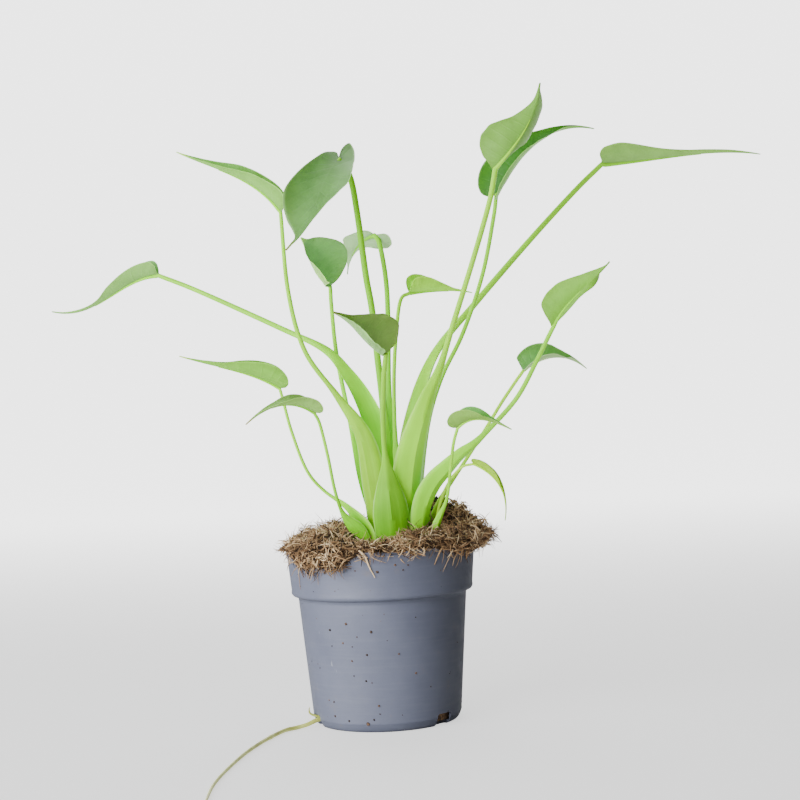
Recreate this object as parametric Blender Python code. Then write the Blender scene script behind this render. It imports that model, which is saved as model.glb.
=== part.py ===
"""Potted alocasia: a plastic nursery pot, a fibrous soil plug and sixteen long-stalked leaves.

Metres, +Z up. The origin is the middle of the pot's underside. +X is to the right and -Y to the front.
"""
import math
import random

import bmesh
import bpy
from mathutils import Vector, noise

# Pot: a 10.5 cm nursery pot
RIM_RADIUS = 0.0525
RIM_HEIGHT = 0.0975
BAND_RADIUS = 0.0502
BAND_BOTTOM = 0.0722
STEP_RADIUS = 0.0466
STEP_DROP = 0.0022
FOOT_RADIUS = 0.0410
FOOT_CHAMFER = 0.0028
WALL = 0.0014
FLOOR = 0.0020
EDGE_ROUND = 0.0006
POT_SIDES = 52
SLOT_COUNT = 3
SLOT_FIRST_ANGLE = 199.0
SLOT_WIDTH = 0.011
SLOT_HEIGHT = 0.0070
SLOT_DEPTH = 0.0110
SLOT_BELOW = 0.0040
DRAIN_COUNT = 6
DRAIN_RADIUS = 0.0035
DRAIN_CIRCLE = 0.0270
DRAIN_SIDES = 12

# Clearance between touching pieces
GAP = 0.0003

# Soil
SOIL_RINGS = 7
SOIL_CLEARANCE = 0.0010
HEAP_LOWEST = 0.1010
HEAP_RISE = 0.0035
RELIEF = 0.0024
TUFT_COUNT = 90
TUFT_RING = 0.046
TUFT_LENGTH = 0.011
TUFT_RADIUS = 0.0009
TUFT_SUNK = 0.0022
# Local mounds of the heap: x, y, height and breadth
MOUNDS = [(0.041, 0.012, 0.0150, 0.017), (-0.024, 0.018, 0.0060, 0.018), (-0.008, -0.046, -0.0022, 0.016)]

# Corm: the buried stem that every stalk grows from
CORM_CENTRE = (0.007, -0.005)
CORM_RADII = (0.0250, 0.0170)
CORM_TOP = 0.0930
CORM_HEIGHT = 0.020
# Side view from the bottom up: share of the radii and share of the height
CORM_PROFILE = [(0.45, 0.0), (0.82, 0.10), (1.0, 0.32), (0.98, 0.55), (1.02, 0.75), (1.0, 1.0)]
CORM_SIDES = 20

# Root: out of a drain slot and along the surface, tapering to its end
ROOT_POINTS = [(-0.0300, -0.0130, 0.0052), (-0.0380, -0.0155, 0.0042), (-0.0440, -0.0180, 0.0022),
               (-0.0500, -0.0210, 0.0013), (-0.0560, -0.0275, 0.0013), (-0.0645, -0.0510, 0.0013),
               (-0.0722, -0.0820, 0.0012), (-0.0782, -0.1210, 0.0011), (-0.0808, -0.1500, 0.0010),
               (-0.0808, -0.1800, 0.0009)]
ROOT_RADIUS = 0.00125
ROOT_TIP_RADIUS = 0.0007
ROOT_STATIONS = 30
ROOT_SIDES = 6

# Stalks
STALK_STATIONS = 17
STALK_HALF_SIDES = 4
SHEATH_THICKNESS = 0.0015
SHEATH_DEPTH = 0.52

# Blades
BLADE_THICKNESS = 0.0007
BLADE_STRIPS = 3
# Length left out at the top of a stalk, so that its end clears the folded base of the blade
STALK_END_GAP = 2 * GAP + BLADE_THICKNESS
# Edge of one half: distance along the blade and from the midrib, as shares of length and half width
EDGE_SHAPE = [(0.000, 0.09), (-0.035, 0.26), (-0.035, 0.56), (0.018, 0.84), (0.105, 1.00), (0.235, 0.96),
              (0.370, 0.78), (0.500, 0.54), (0.620, 0.33), (0.740, 0.18), (0.870, 0.09), (1.000, 0.045)]
# Where a lobe is broadest, and the edge's first point: its share of the way to the lobe, and its setback
LOBE_WIDTH = 0.56
BASE_SHARE = 0.35
BASE_SETBACK = 0.002
# Where the side vein that ends at each edge point leaves the midrib
VEIN_STARTS = [0.000, 0.012, 0.030, 0.060, 0.115, 0.205, 0.320, 0.450, 0.580, 0.710, 0.855, 1.000]

# One row per leaf.
# stalk: the middle of the stalk from its foot on the corm to the blade. back: the compass angle that the
# sheath's round side faces. sheath: its half width and the share of the stalk that it clasps.
# radius: the bare stalk's radius above the sheath and under the blade. seat: extra length at the top where
# the blade's base leaves room. tip: the end of the drip tip. face: the way that the upper side looks.
# half_width, left and right: from the midrib to the edge. fold: how far the two halves rise from flat.
# arch: how far the midrib bows up at a third and at three quarters. sway: how far it bows sideways there.
# full: below 1 the halves keep their width further out. lobe: how far back the two lobes go, as a share of
# the usual, or forward below nought.
LEAVES = {
    "far_left": dict(
        stalk=[(-0.0010, 0.0025, 0.0934), (0.000, 0.004, 0.105), (0.002, 0.008, 0.138),
               (0.000, 0.014, 0.162), (-0.006, 0.020, 0.179), (-0.015, 0.026, 0.194),
               (-0.027, 0.032, 0.208), (-0.053, 0.040, 0.222), (-0.100, 0.052, 0.246),
               (-0.125, 0.060, 0.258)],
        back=112, sheath=(0.0066, 0.60), radius=(0.0017, 0.0011), seat=0.0006,
        tip=(-0.193, 0.080, 0.240), face=(-0.20, -0.15, 1.0), half_width=(0.0135, 0.0135), fold=(48, 48),
        arch=(-0.0005, -0.0055), lobe=(0.0, 0.0)),
    "upper_left": dict(
        stalk=[(0.000, -0.0105, 0.0934), (0.001, -0.012, 0.106), (-0.001, -0.013, 0.131),
               (-0.006, -0.012, 0.158), (-0.020, -0.008, 0.181), (-0.037, -0.002, 0.207),
               (-0.045, 0.004, 0.241), (-0.047, 0.010, 0.286)],
        back=238, sheath=(0.0080, 0.52), radius=(0.0014, 0.0009),
        tip=(-0.106, 0.022, 0.324), face=(0.30, -0.25, 1.0), half_width=(0.0125, 0.0102), fold=(48, 44),
        arch=(0.0050, 0.0020), lobe=(0.4, 0.2)),
    "tall_front": dict(
        stalk=[(0.0055, -0.001, 0.0934), (0.006, -0.001, 0.110), (0.005, -0.002, 0.166),
               (0.002, -0.002, 0.222), (-0.001, -0.003, 0.247), (-0.004, -0.005, 0.280),
               (-0.007, -0.008, 0.301), (-0.0125, -0.0135, 0.3105)],
        back=330, sheath=(0.0046, 0.50), radius=(0.0017, 0.0014),
        tip=(-0.042, -0.045, 0.259), face=(-0.20, -0.90, 0.30), half_width=(0.0178, 0.0162), fold=(24, 14),
        arch=(0.0050, 0.0030), sway=(-0.0016, -0.0036), full=(0.85, 0.40), lobe=(3.0, 0.3)),
    "back_cup": dict(
        stalk=[(0.000, 0.0105, 0.0934), (-0.001, 0.012, 0.108), (-0.009, 0.019, 0.138),
               (-0.016, 0.029, 0.175), (-0.021, 0.042, 0.206), (-0.023, 0.054, 0.232),
               (-0.024, 0.060, 0.246)],
        back=115, sheath=(0.0040, 0.50), radius=(0.0012, 0.0010),
        tip=(-0.038, 0.032, 0.273), face=(0.52, -0.75, 0.30), half_width=(0.0185, 0.0185), fold=(36, 42),
        arch=(0.0010, 0.0010), full=(0.30, 0.38), lobe=(-4.0, 0.2)),
    "back_drooping": dict(
        stalk=[(0.0065, 0.0105, 0.0934), (0.0065, 0.012, 0.108), (0.007, 0.022, 0.154),
               (0.009, 0.036, 0.200), (0.010, 0.054, 0.242), (0.007, 0.068, 0.270),
               (0.004, 0.072, 0.277)],
        back=88, sheath=(0.0048, 0.55), radius=(0.0014, 0.0012), seat=-0.0004,
        tip=(-0.014, 0.100, 0.256), face=(0.00, 0.55, 0.83), half_width=(0.0112, 0.0150), fold=(20, -3),
        arch=(0.0030, 0.0010), sway=(-0.0030, -0.0030), full=(0.42, 1.80), lobe=(-1.0, 1.0)),
    "centre_right": dict(
        stalk=[(0.0105, 0.004, 0.0934), (0.011, 0.005, 0.108), (0.011, 0.012, 0.154),
               (0.012, 0.020, 0.191), (0.015, 0.028, 0.220), (0.018, 0.033, 0.235),
               (0.023, 0.036, 0.239)],
        back=60, sheath=(0.0036, 0.50), radius=(0.0010, 0.0009),
        tip=(0.060, 0.052, 0.238), face=(0.10, -0.20, 1.0), half_width=(0.0108, 0.0108), fold=(48, 48),
        arch=(0.0010, 0.0010), lobe=(0.3, 0.3)),
    "front_cup": dict(
        stalk=[(0.008, -0.0165, 0.0934), (0.0075, -0.0175, 0.106), (0.006, -0.023, 0.134),
               (0.005, -0.032, 0.161), (0.006, -0.044, 0.188), (0.007, -0.050, 0.201)],
        back=272, sheath=(0.0098, 0.60), radius=(0.0013, 0.0011),
        tip=(-0.017, -0.080, 0.223), face=(0.39, -0.75, 0.46), half_width=(0.0175, 0.0175), fold=(36, 42),
        arch=(0.0010, 0.0010), full=(0.36, 0.70), lobe=(-4.0, 0.3)),
    "upper_right": dict(
        stalk=[(0.0125, -0.0075, 0.0934), (0.0135, -0.009, 0.108), (0.018, -0.015, 0.144),
               (0.028, -0.020, 0.174), (0.037, -0.021, 0.193), (0.046, -0.020, 0.218),
               (0.059, -0.018, 0.254), (0.069, -0.015, 0.284), (0.073, -0.012, 0.302)],
        back=300, sheath=(0.0086, 0.52), radius=(0.0014, 0.0012),
        tip=(0.099, -0.020, 0.346), face=(-0.30, 0.90, 0.30), half_width=(0.0172, 0.0172), fold=(22, 30),
        arch=(-0.0020, 0.0010), sway=(-0.0030, -0.0045), full=(0.72, 0.80)),
    "upper_right_rear": dict(
        stalk=[(0.0170, 0.000, 0.0934), (0.0185, 0.001, 0.108), (0.026, 0.004, 0.154),
               (0.038, 0.008, 0.187), (0.052, 0.014, 0.213), (0.065, 0.022, 0.246),
               (0.073, 0.028, 0.278), (0.075, 0.030, 0.292)],
        back=5, sheath=(0.0052, 0.50), radius=(0.0011, 0.0010), seat=-0.0003,
        tip=(0.136, 0.052, 0.331), face=(-0.45, -0.60, 0.66), half_width=(0.0150, 0.0150), fold=(30, 30),
        arch=(0.0120, 0.0110)),
    "far_right": dict(
        stalk=[(0.0110, 0.0110, 0.0934), (0.0120, 0.0125, 0.108), (0.0195, 0.019, 0.160),
               (0.034, 0.030, 0.200), (0.061, 0.044, 0.231), (0.096, 0.058, 0.268),
               (0.125, 0.066, 0.297), (0.142, 0.070, 0.313)],
        back=40, sheath=(0.0076, 0.55), radius=(0.0019, 0.0010),
        tip=(0.242, 0.092, 0.317), face=(-0.05, -0.20, 1.0), half_width=(0.0120, 0.0120), fold=(52, 52),
        arch=(0.0020, 0.0010), lobe=(-0.3, -0.3)),
    "right": dict(
        stalk=[(0.0215, -0.013, 0.0934), (0.0215, -0.014, 0.106), (0.024, -0.015, 0.120),
               (0.030, -0.016, 0.131), (0.038, -0.018, 0.139), (0.046, -0.020, 0.146),
               (0.057, -0.022, 0.154), (0.077, -0.027, 0.174), (0.089, -0.030, 0.194),
               (0.096, -0.031, 0.207), (0.0985, -0.032, 0.2125)],
        back=310, sheath=(0.0056, 0.46), radius=(0.0013, 0.0010), seat=0.0008,
        tip=(0.129, -0.046, 0.245), face=(-0.44, 0.75, 0.40), half_width=(0.0110, 0.0122), fold=(45, 45),
        arch=(0.0030, 0.0005), full=(0.62, 0.75), lobe=(-0.5, -0.5)),
    "right_dark": dict(
        stalk=[(0.0265, -0.0045, 0.0934), (0.0275, -0.005, 0.107), (0.034, -0.004, 0.121),
               (0.044, -0.002, 0.134), (0.060, 0.002, 0.156), (0.071, 0.006, 0.172),
               (0.080, 0.009, 0.184), (0.0845, 0.010, 0.1905)],
        back=345, sheath=(0.0034, 0.42), radius=(0.0009, 0.0008),
        tip=(0.122, 0.024, 0.190), face=(0.05, -0.55, 1.0), half_width=(0.0100, 0.0100), fold=(28, 28),
        arch=(0.0074, 0.0056), full=(0.80, 0.80), lobe=(-0.5, -0.5)),
    "front_small": dict(
        stalk=[(0.029, -0.0165, 0.0934), (0.031, -0.018, 0.107), (0.0375, -0.024, 0.122),
               (0.040, -0.034, 0.138), (0.042, -0.042, 0.152), (0.044, -0.046, 0.161)],
        back=295, sheath=(0.0026, 0.42), radius=(0.0008, 0.0007),
        tip=(0.072, -0.062, 0.159), face=(0.00, -0.20, 1.0), half_width=(0.0085, 0.0085), fold=(40, 40),
        arch=(0.0050, 0.0030)),
    "young_curled": dict(
        stalk=[(0.0305, -0.0095, 0.0934), (0.0315, -0.0105, 0.108), (0.035, -0.013, 0.122),
               (0.041, -0.017, 0.133), (0.047, -0.021, 0.139), (0.053, -0.024, 0.141)],
        back=330, sheath=(0.0020, 0.40), radius=(0.0007, 0.0006),
        tip=(0.068, -0.038, 0.110), face=(0.60, -0.20, 0.80), half_width=(0.0050, 0.0050), fold=(55, 55),
        arch=(0.0060, 0.0055)),
    "left": dict(
        stalk=[(-0.008, -0.0085, 0.0934), (-0.010, -0.0095, 0.107), (-0.018, -0.012, 0.119),
               (-0.029, -0.014, 0.129), (-0.038, -0.017, 0.141), (-0.045, -0.019, 0.162),
               (-0.049, -0.020, 0.180), (-0.050, -0.020, 0.1865)],
        back=200, sheath=(0.0042, 0.36), radius=(0.0008, 0.0007),
        tip=(-0.103, -0.030, 0.206), face=(0.10, -0.12, 1.0), half_width=(0.0111, 0.0108), fold=(46, 45),
        arch=(0.0020, 0.0005)),
    "left_low": dict(
        stalk=[(-0.010, -0.0165, 0.0934), (-0.013, -0.018, 0.106), (-0.0195, -0.024, 0.117),
               (-0.0225, -0.032, 0.130), (-0.025, -0.042, 0.149), (-0.028, -0.050, 0.166),
               (-0.030, -0.053, 0.1725)],
        back=240, sheath=(0.0040, 0.34), radius=(0.0008, 0.0007),
        tip=(-0.065, -0.072, 0.168), face=(0.00, -0.20, 1.0), half_width=(0.0095, 0.0095), fold=(28, 28),
        arch=(0.0065, 0.0050)),
}


def clear_scene():
    for obj in list(bpy.data.objects):
        bpy.data.objects.remove(obj)


def material(name, colour, roughness, metallic=0.0):
    made = bpy.data.materials.new(name)
    made.use_nodes = True
    shader = made.node_tree.nodes["Principled BSDF"]
    shader.inputs["Base Color"].default_value = (*colour, 1.0)
    shader.inputs["Roughness"].default_value = roughness
    shader.inputs["Metallic"].default_value = metallic
    return made


def mesh_object(name, points, faces, finish, collection=None):
    mesh = bpy.data.meshes.new(name)
    mesh.from_pydata([tuple(p) for p in points], [], faces)
    mesh.validate()
    mesh.materials.append(finish)
    obj = bpy.data.objects.new(name, mesh)
    (collection or bpy.context.scene.collection).objects.link(obj)
    tidy = bmesh.new()
    tidy.from_mesh(mesh)
    bmesh.ops.recalc_face_normals(tidy, faces=tidy.faces)
    tidy.to_mesh(mesh)
    tidy.free()
    return obj


def smooth(low, high, value):
    share = min(1.0, max(0.0, (value - low) / (high - low)))
    return share * share * (3.0 - 2.0 * share)


def blend(first, second, share):
    return first + (second - first) * share


def curve_through(points, count):
    """Evenly spaced points of a smooth curve through the given ones."""
    knots = [Vector(p) for p in points]
    knots = [knots[0] * 2 - knots[1]] + knots + [knots[-1] * 2 - knots[-2]]
    fine = []
    steps = 24
    for i in range(1, len(knots) - 2):
        before, here, there, after = knots[i - 1:i + 3]
        for k in range(steps):
            t = k / steps
            fine.append(0.5 * (2 * here + (there - before) * t
                               + (2 * before - 5 * here + 4 * there - after) * t * t
                               + (3 * here - before - 3 * there + after) * t ** 3))
    fine.append(knots[-2])
    lengths = [0.0]
    for first, second in zip(fine, fine[1:]):
        lengths.append(lengths[-1] + (second - first).length)
    spaced = []
    k = 0
    for i in range(count):
        goal = lengths[-1] * i / (count - 1)
        while k < len(fine) - 2 and lengths[k + 1] < goal:
            k += 1
        share = (goal - lengths[k]) / (lengths[k + 1] - lengths[k])
        spaced.append(fine[k].lerp(fine[k + 1], min(1.0, share)))
    return spaced


def tangents(points):
    last = len(points) - 1
    return [(points[min(i + 1, last)] - points[max(i - 1, 0)]).normalized() for i in range(last + 1)]


def tube(sections):
    """Faces of a closed tube through equal rings of points, with a flat end on each side."""
    points = [p for ring in sections for p in ring]
    sides = len(sections[0])
    faces = [tuple(range(sides))]
    for i in range(len(sections) - 1):
        for k in range(sides):
            a = i * sides + k
            b = i * sides + (k + 1) % sides
            faces.append((a, b, b + sides))
            faces.append((a, b + sides, a + sides))
    faces.append(tuple((len(sections) - 1) * sides + k for k in range(sides)))
    return points, faces


def stalk_sections(leaf, grow=0.0, filled=False, share_of_length=1.0):
    """Rings of a leaf stalk: a clasping crescent at the foot that closes into a round stalk."""
    path = curve_through(leaf["stalk"], STALK_STATIONS)
    ways = tangents(path)
    path[-1] = path[-1] - ways[-1] * (STALK_END_GAP - leaf.get("seat", 0.0))
    outward = Vector((math.cos(math.radians(leaf["back"])), math.sin(math.radians(leaf["back"])), 0.0))
    wide, clasp = leaf["sheath"]
    thick, thin = leaf["radius"]
    rings = []
    for i, (centre, way) in enumerate(zip(path, ways)):
        run = i / (STALK_STATIONS - 1)
        if run > share_of_length:
            break
        if i == 0:
            way = Vector((0, 0, 1))
            centre = centre - way * grow
        if i == STALK_STATIONS - 1:
            centre = centre + way * grow
        out = (outward - way * outward.dot(way)).normalized()
        side = way.cross(out)
        radius = blend(thick, thin, run)
        along = run / clasp
        half = blend(wide, radius, smooth(0.30, 1.0, along)) * blend(0.80, 1.0, smooth(0.0, 0.25, along))
        half = max(half, radius)
        closing = smooth(0.55, 1.0, along)
        deep = blend(half * SHEATH_DEPTH + radius * 0.3, radius, closing)
        hollow = blend(deep - SHEATH_THICKNESS, -radius, closing)
        if filled:
            hollow = -deep
        half, deep, hollow = half + grow, deep + grow, hollow - grow
        ring = []
        for k in range(STALK_HALF_SIDES):
            turn = math.pi * k / STALK_HALF_SIDES
            ring.append(centre + side * half * math.cos(turn) + out * deep * math.sin(turn))
        for k in range(STALK_HALF_SIDES):
            turn = math.pi - math.pi * k / STALK_HALF_SIDES
            ring.append(centre + side * half * math.cos(turn) + out * hollow * math.sin(turn))
        rings.append(ring)
    return rings


def midrib(leaf, share):
    """A point of the midrib, with its direction and the way that the upper side faces there."""
    base = Vector(leaf["stalk"][-1])
    tip = Vector(leaf["tip"])
    length = (tip - base).length
    straight = (tip - base) / length
    face = Vector(leaf["face"])
    up = (face - straight * face.dot(straight)).normalized()
    aside = straight.cross(up)
    arch = leaf["arch"]
    sway = leaf.get("sway", (0.0, 0.0))

    def place(s):
        return base + straight * length * s + up * bow(arch, s) + aside * bow(sway, s)

    clamped = max(0.0, share)
    step = 0.01
    way = (place(clamped + step) - place(max(0.0, clamped - step))).normalized()
    normal = (up - way * up.dot(way)).normalized()
    point = place(clamped) + way * (share - clamped) * length
    return point, way, normal


def bow(heights, share):
    """Height of a curve that is nought at both ends and has heights given at a third and three quarters."""
    knots = [(0.0, 0.0), (0.33, heights[0]), (0.75, heights[1]), (1.0, 0.0)]
    total = 0.0
    for i, (at, height) in enumerate(knots):
        term = height
        for k, (other, _) in enumerate(knots):
            if k != i:
                term *= (share - other) / (at - other)
        total += term
    return total


def edge_reach(leaf, half, row):
    """How far along the blade an edge point lies. The first lies between the stalk and the lobe's back."""
    if row == 0:
        return BASE_SHARE * edge_reach(leaf, half, 1) - BASE_SETBACK
    along, across = EDGE_SHAPE[row]
    lobe = leaf.get("lobe", (1.0, 1.0))[half]
    if along > 0:
        return along ** leaf.get("full", (1.0, 1.0))[half]
    if lobe < 0:
        return along * lobe * across / LOBE_WIDTH
    return along * lobe


def blade_point(leaf, side, row, out):
    """A point of the blade's upper face, and the way that the face looks there."""
    half = 0 if side < 0 else 1
    along = blend(VEIN_STARTS[row], edge_reach(leaf, half, row), out)
    across = EDGE_SHAPE[row][1] * out
    point, way, up = midrib(leaf, along)
    sideways = way.cross(up) * side
    fold = math.radians(leaf["fold"][half])
    tight = math.radians(72.0)
    fold = blend(fold, max(fold, tight), smooth(0.55, 0.90, along))
    cup = math.radians(26.0)
    lean = fold - cup * 0.5 + cup * across
    width = leaf["half_width"][half] * across
    point = point + (sideways * math.cos(lean) + up * math.sin(lean)) * width
    turn = fold - cup * 0.5 + 2 * cup * across
    normal = up * math.cos(turn) - sideways * math.sin(turn)
    return point, normal


def blade_mesh(leaf):
    rows = []
    normals = []
    for row, start in enumerate(VEIN_STARTS):
        line = []
        looks = []
        for k in range(-BLADE_STRIPS, BLADE_STRIPS + 1):
            side = -1 if k < 0 else 1
            point, look = blade_point(leaf, side, row, abs(k) / BLADE_STRIPS)
            if k == 0:
                look = midrib(leaf, start)[2]
            line.append(point)
            looks.append(look)
        rows.append(line)
        normals.append(looks)
    columns = 2 * BLADE_STRIPS + 1
    count = len(rows) * columns
    top = [p for line in rows for p in line]
    under = [p - n * BLADE_THICKNESS for line, looks in zip(rows, normals) for p, n in zip(line, looks)]
    faces = []
    for i in range(len(rows) - 1):
        for k in range(columns - 1):
            a = i * columns + k
            b, c, d = a + 1, a + 1 + columns, a + columns
            pair = [(a, b, c), (a, c, d)] if k >= BLADE_STRIPS else [(a, b, d), (b, c, d)]
            for face in pair:
                faces.append(face)
                faces.append(tuple(count + v for v in reversed(face)))
    rim = [k for k in range(columns)]
    rim += [i * columns + columns - 1 for i in range(1, len(rows))]
    rim += [(len(rows) - 1) * columns + k for k in range(columns - 2, -1, -1)]
    rim += [i * columns for i in range(len(rows) - 2, 0, -1)]
    for a, b in zip(rim, rim[1:] + rim[:1]):
        faces.append((a, count + a, count + b))
        faces.append((a, count + b, b))
    return top + under, faces


def inner_radius(height):
    """Inside radius of the pot's wall at a height."""
    if height >= BAND_BOTTOM:
        share = (height - BAND_BOTTOM) / (RIM_HEIGHT - BAND_BOTTOM)
        return blend(BAND_RADIUS, RIM_RADIUS, share) - WALL
    share = height / (BAND_BOTTOM - STEP_DROP)
    return blend(FOOT_RADIUS, STEP_RADIUS, min(1.0, share)) - WALL


def turned(profile, sides, wobble=None):
    """Closed shape turned about the Z axis from (radius, height) points that start and end on it."""
    points = [Vector((0, 0, profile[0][1])), Vector((0, 0, profile[-1][1]))]
    inner = profile[1:-1]
    for i in range(sides):
        angle = 2 * math.pi * i / sides
        for k, (radius, height) in enumerate(inner):
            p = Vector((radius * math.cos(angle), radius * math.sin(angle), height))
            points.append(wobble(k, angle, p) if wobble else p)
    faces = []
    rows = len(inner)
    for i in range(sides):
        a = 2 + i * rows
        b = 2 + ((i + 1) % sides) * rows
        faces.append((0, b, a))
        faces.append((1, a + rows - 1, b + rows - 1))
        for k in range(rows - 1):
            faces.append((a + k, b + k, b + k + 1))
            faces.append((a + k, b + k + 1, a + k + 1))
    return points, faces


def cut(target, cutters, operation="DIFFERENCE"):
    """Applies one Boolean with a collection of closed meshes, then removes them."""
    tool = target.modifiers.new("shape", "BOOLEAN")
    tool.operand_type = "COLLECTION"
    tool.collection = cutters
    tool.operation = operation
    tool.solver = "EXACT"
    settled = target.evaluated_get(bpy.context.evaluated_depsgraph_get())
    mesh = bpy.data.meshes.new_from_object(settled)
    target.modifiers.clear()
    target.data = mesh
    for obj in list(cutters.objects):
        bpy.data.objects.remove(obj)
    bpy.data.collections.remove(cutters)


def new_group(name):
    group = bpy.data.collections.new(name)
    bpy.context.scene.collection.children.link(group)
    return group


def keep_main_body(target):
    """Drops loose scraps that a cut leaves, keeping the body with the most faces."""
    shape = bmesh.new()
    shape.from_mesh(target.data)
    bmesh.ops.remove_doubles(shape, verts=shape.verts, dist=0.000002)
    left = set(shape.verts)
    bodies = []
    while left:
        body = set()
        reach = [left.pop()]
        while reach:
            vert = reach.pop()
            body.add(vert)
            for link in vert.link_edges:
                other = link.other_vert(vert)
                if other in left:
                    left.discard(other)
                    reach.append(other)
        bodies.append(body)
    bodies.sort(key=len)
    scraps = [v for body in bodies[:-1] for v in body]
    bmesh.ops.delete(shape, geom=scraps, context="VERTS")
    shape.to_mesh(target.data)
    shape.free()


def make_pot():
    """Nursery pot: tapered wall, stepped rim band, drain slots at the foot and holes in the floor."""
    plastic = material("pot_plastic", (0.20, 0.215, 0.255), 0.42)
    wall_top = BAND_BOTTOM - STEP_DROP
    profile = [
        (0, 0), (FOOT_RADIUS - FOOT_CHAMFER, 0), (FOOT_RADIUS, FOOT_CHAMFER),
        (STEP_RADIUS, wall_top),
        (BAND_RADIUS - EDGE_ROUND / 2, BAND_BOTTOM), (BAND_RADIUS, BAND_BOTTOM + EDGE_ROUND),
        (RIM_RADIUS, RIM_HEIGHT - EDGE_ROUND), (RIM_RADIUS - EDGE_ROUND, RIM_HEIGHT),
        (RIM_RADIUS - WALL, RIM_HEIGHT), (inner_radius(BAND_BOTTOM), BAND_BOTTOM),
        (inner_radius(wall_top - WALL), wall_top - WALL), (inner_radius(FLOOR), FLOOR), (0, FLOOR)]
    pot = mesh_object("pot", *turned(profile, POT_SIDES), plastic)
    cutters = new_group("pot_cutters")
    for i in range(SLOT_COUNT):
        angle = math.radians(SLOT_FIRST_ANGLE + 360.0 * i / SLOT_COUNT)
        bpy.ops.mesh.primitive_cube_add(size=1.0)
        slot = bpy.context.active_object
        slot.scale = (SLOT_DEPTH, SLOT_WIDTH, SLOT_HEIGHT + SLOT_BELOW)
        middle = (SLOT_HEIGHT - SLOT_BELOW) / 2
        slot.location = (FOOT_RADIUS * math.cos(angle), FOOT_RADIUS * math.sin(angle), middle)
        slot.rotation_euler = (0, 0, angle)
        move_to(slot, cutters)
    for i in range(DRAIN_COUNT):
        angle = 2 * math.pi * (i + 0.5) / DRAIN_COUNT
        place = (DRAIN_CIRCLE * math.cos(angle), DRAIN_CIRCLE * math.sin(angle), FLOOR / 2)
        bpy.ops.mesh.primitive_cylinder_add(vertices=DRAIN_SIDES, radius=DRAIN_RADIUS, depth=FLOOR * 3,
                                            location=place)
        move_to(bpy.context.active_object, cutters)
    bpy.context.view_layer.update()
    cut(pot, cutters)
    keep_main_body(pot)
    return pot


def move_to(obj, group):
    for owner in list(obj.users_collection):
        owner.objects.unlink(obj)
    group.objects.link(obj)


def soil_height(x, y):
    """Height of the heap: a low ring on the rim, a rise round the stalks and one at the right rear."""
    share = min(1.0, math.hypot(x, y) / (RIM_RADIUS + 0.0035))
    height = HEAP_LOWEST + HEAP_RISE * math.cos(share * math.pi / 2)
    for at_x, at_y, rise, breadth in MOUNDS:
        height += rise * math.exp(-((x - at_x) ** 2 + (y - at_y) ** 2) / breadth ** 2)
    return height


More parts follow.
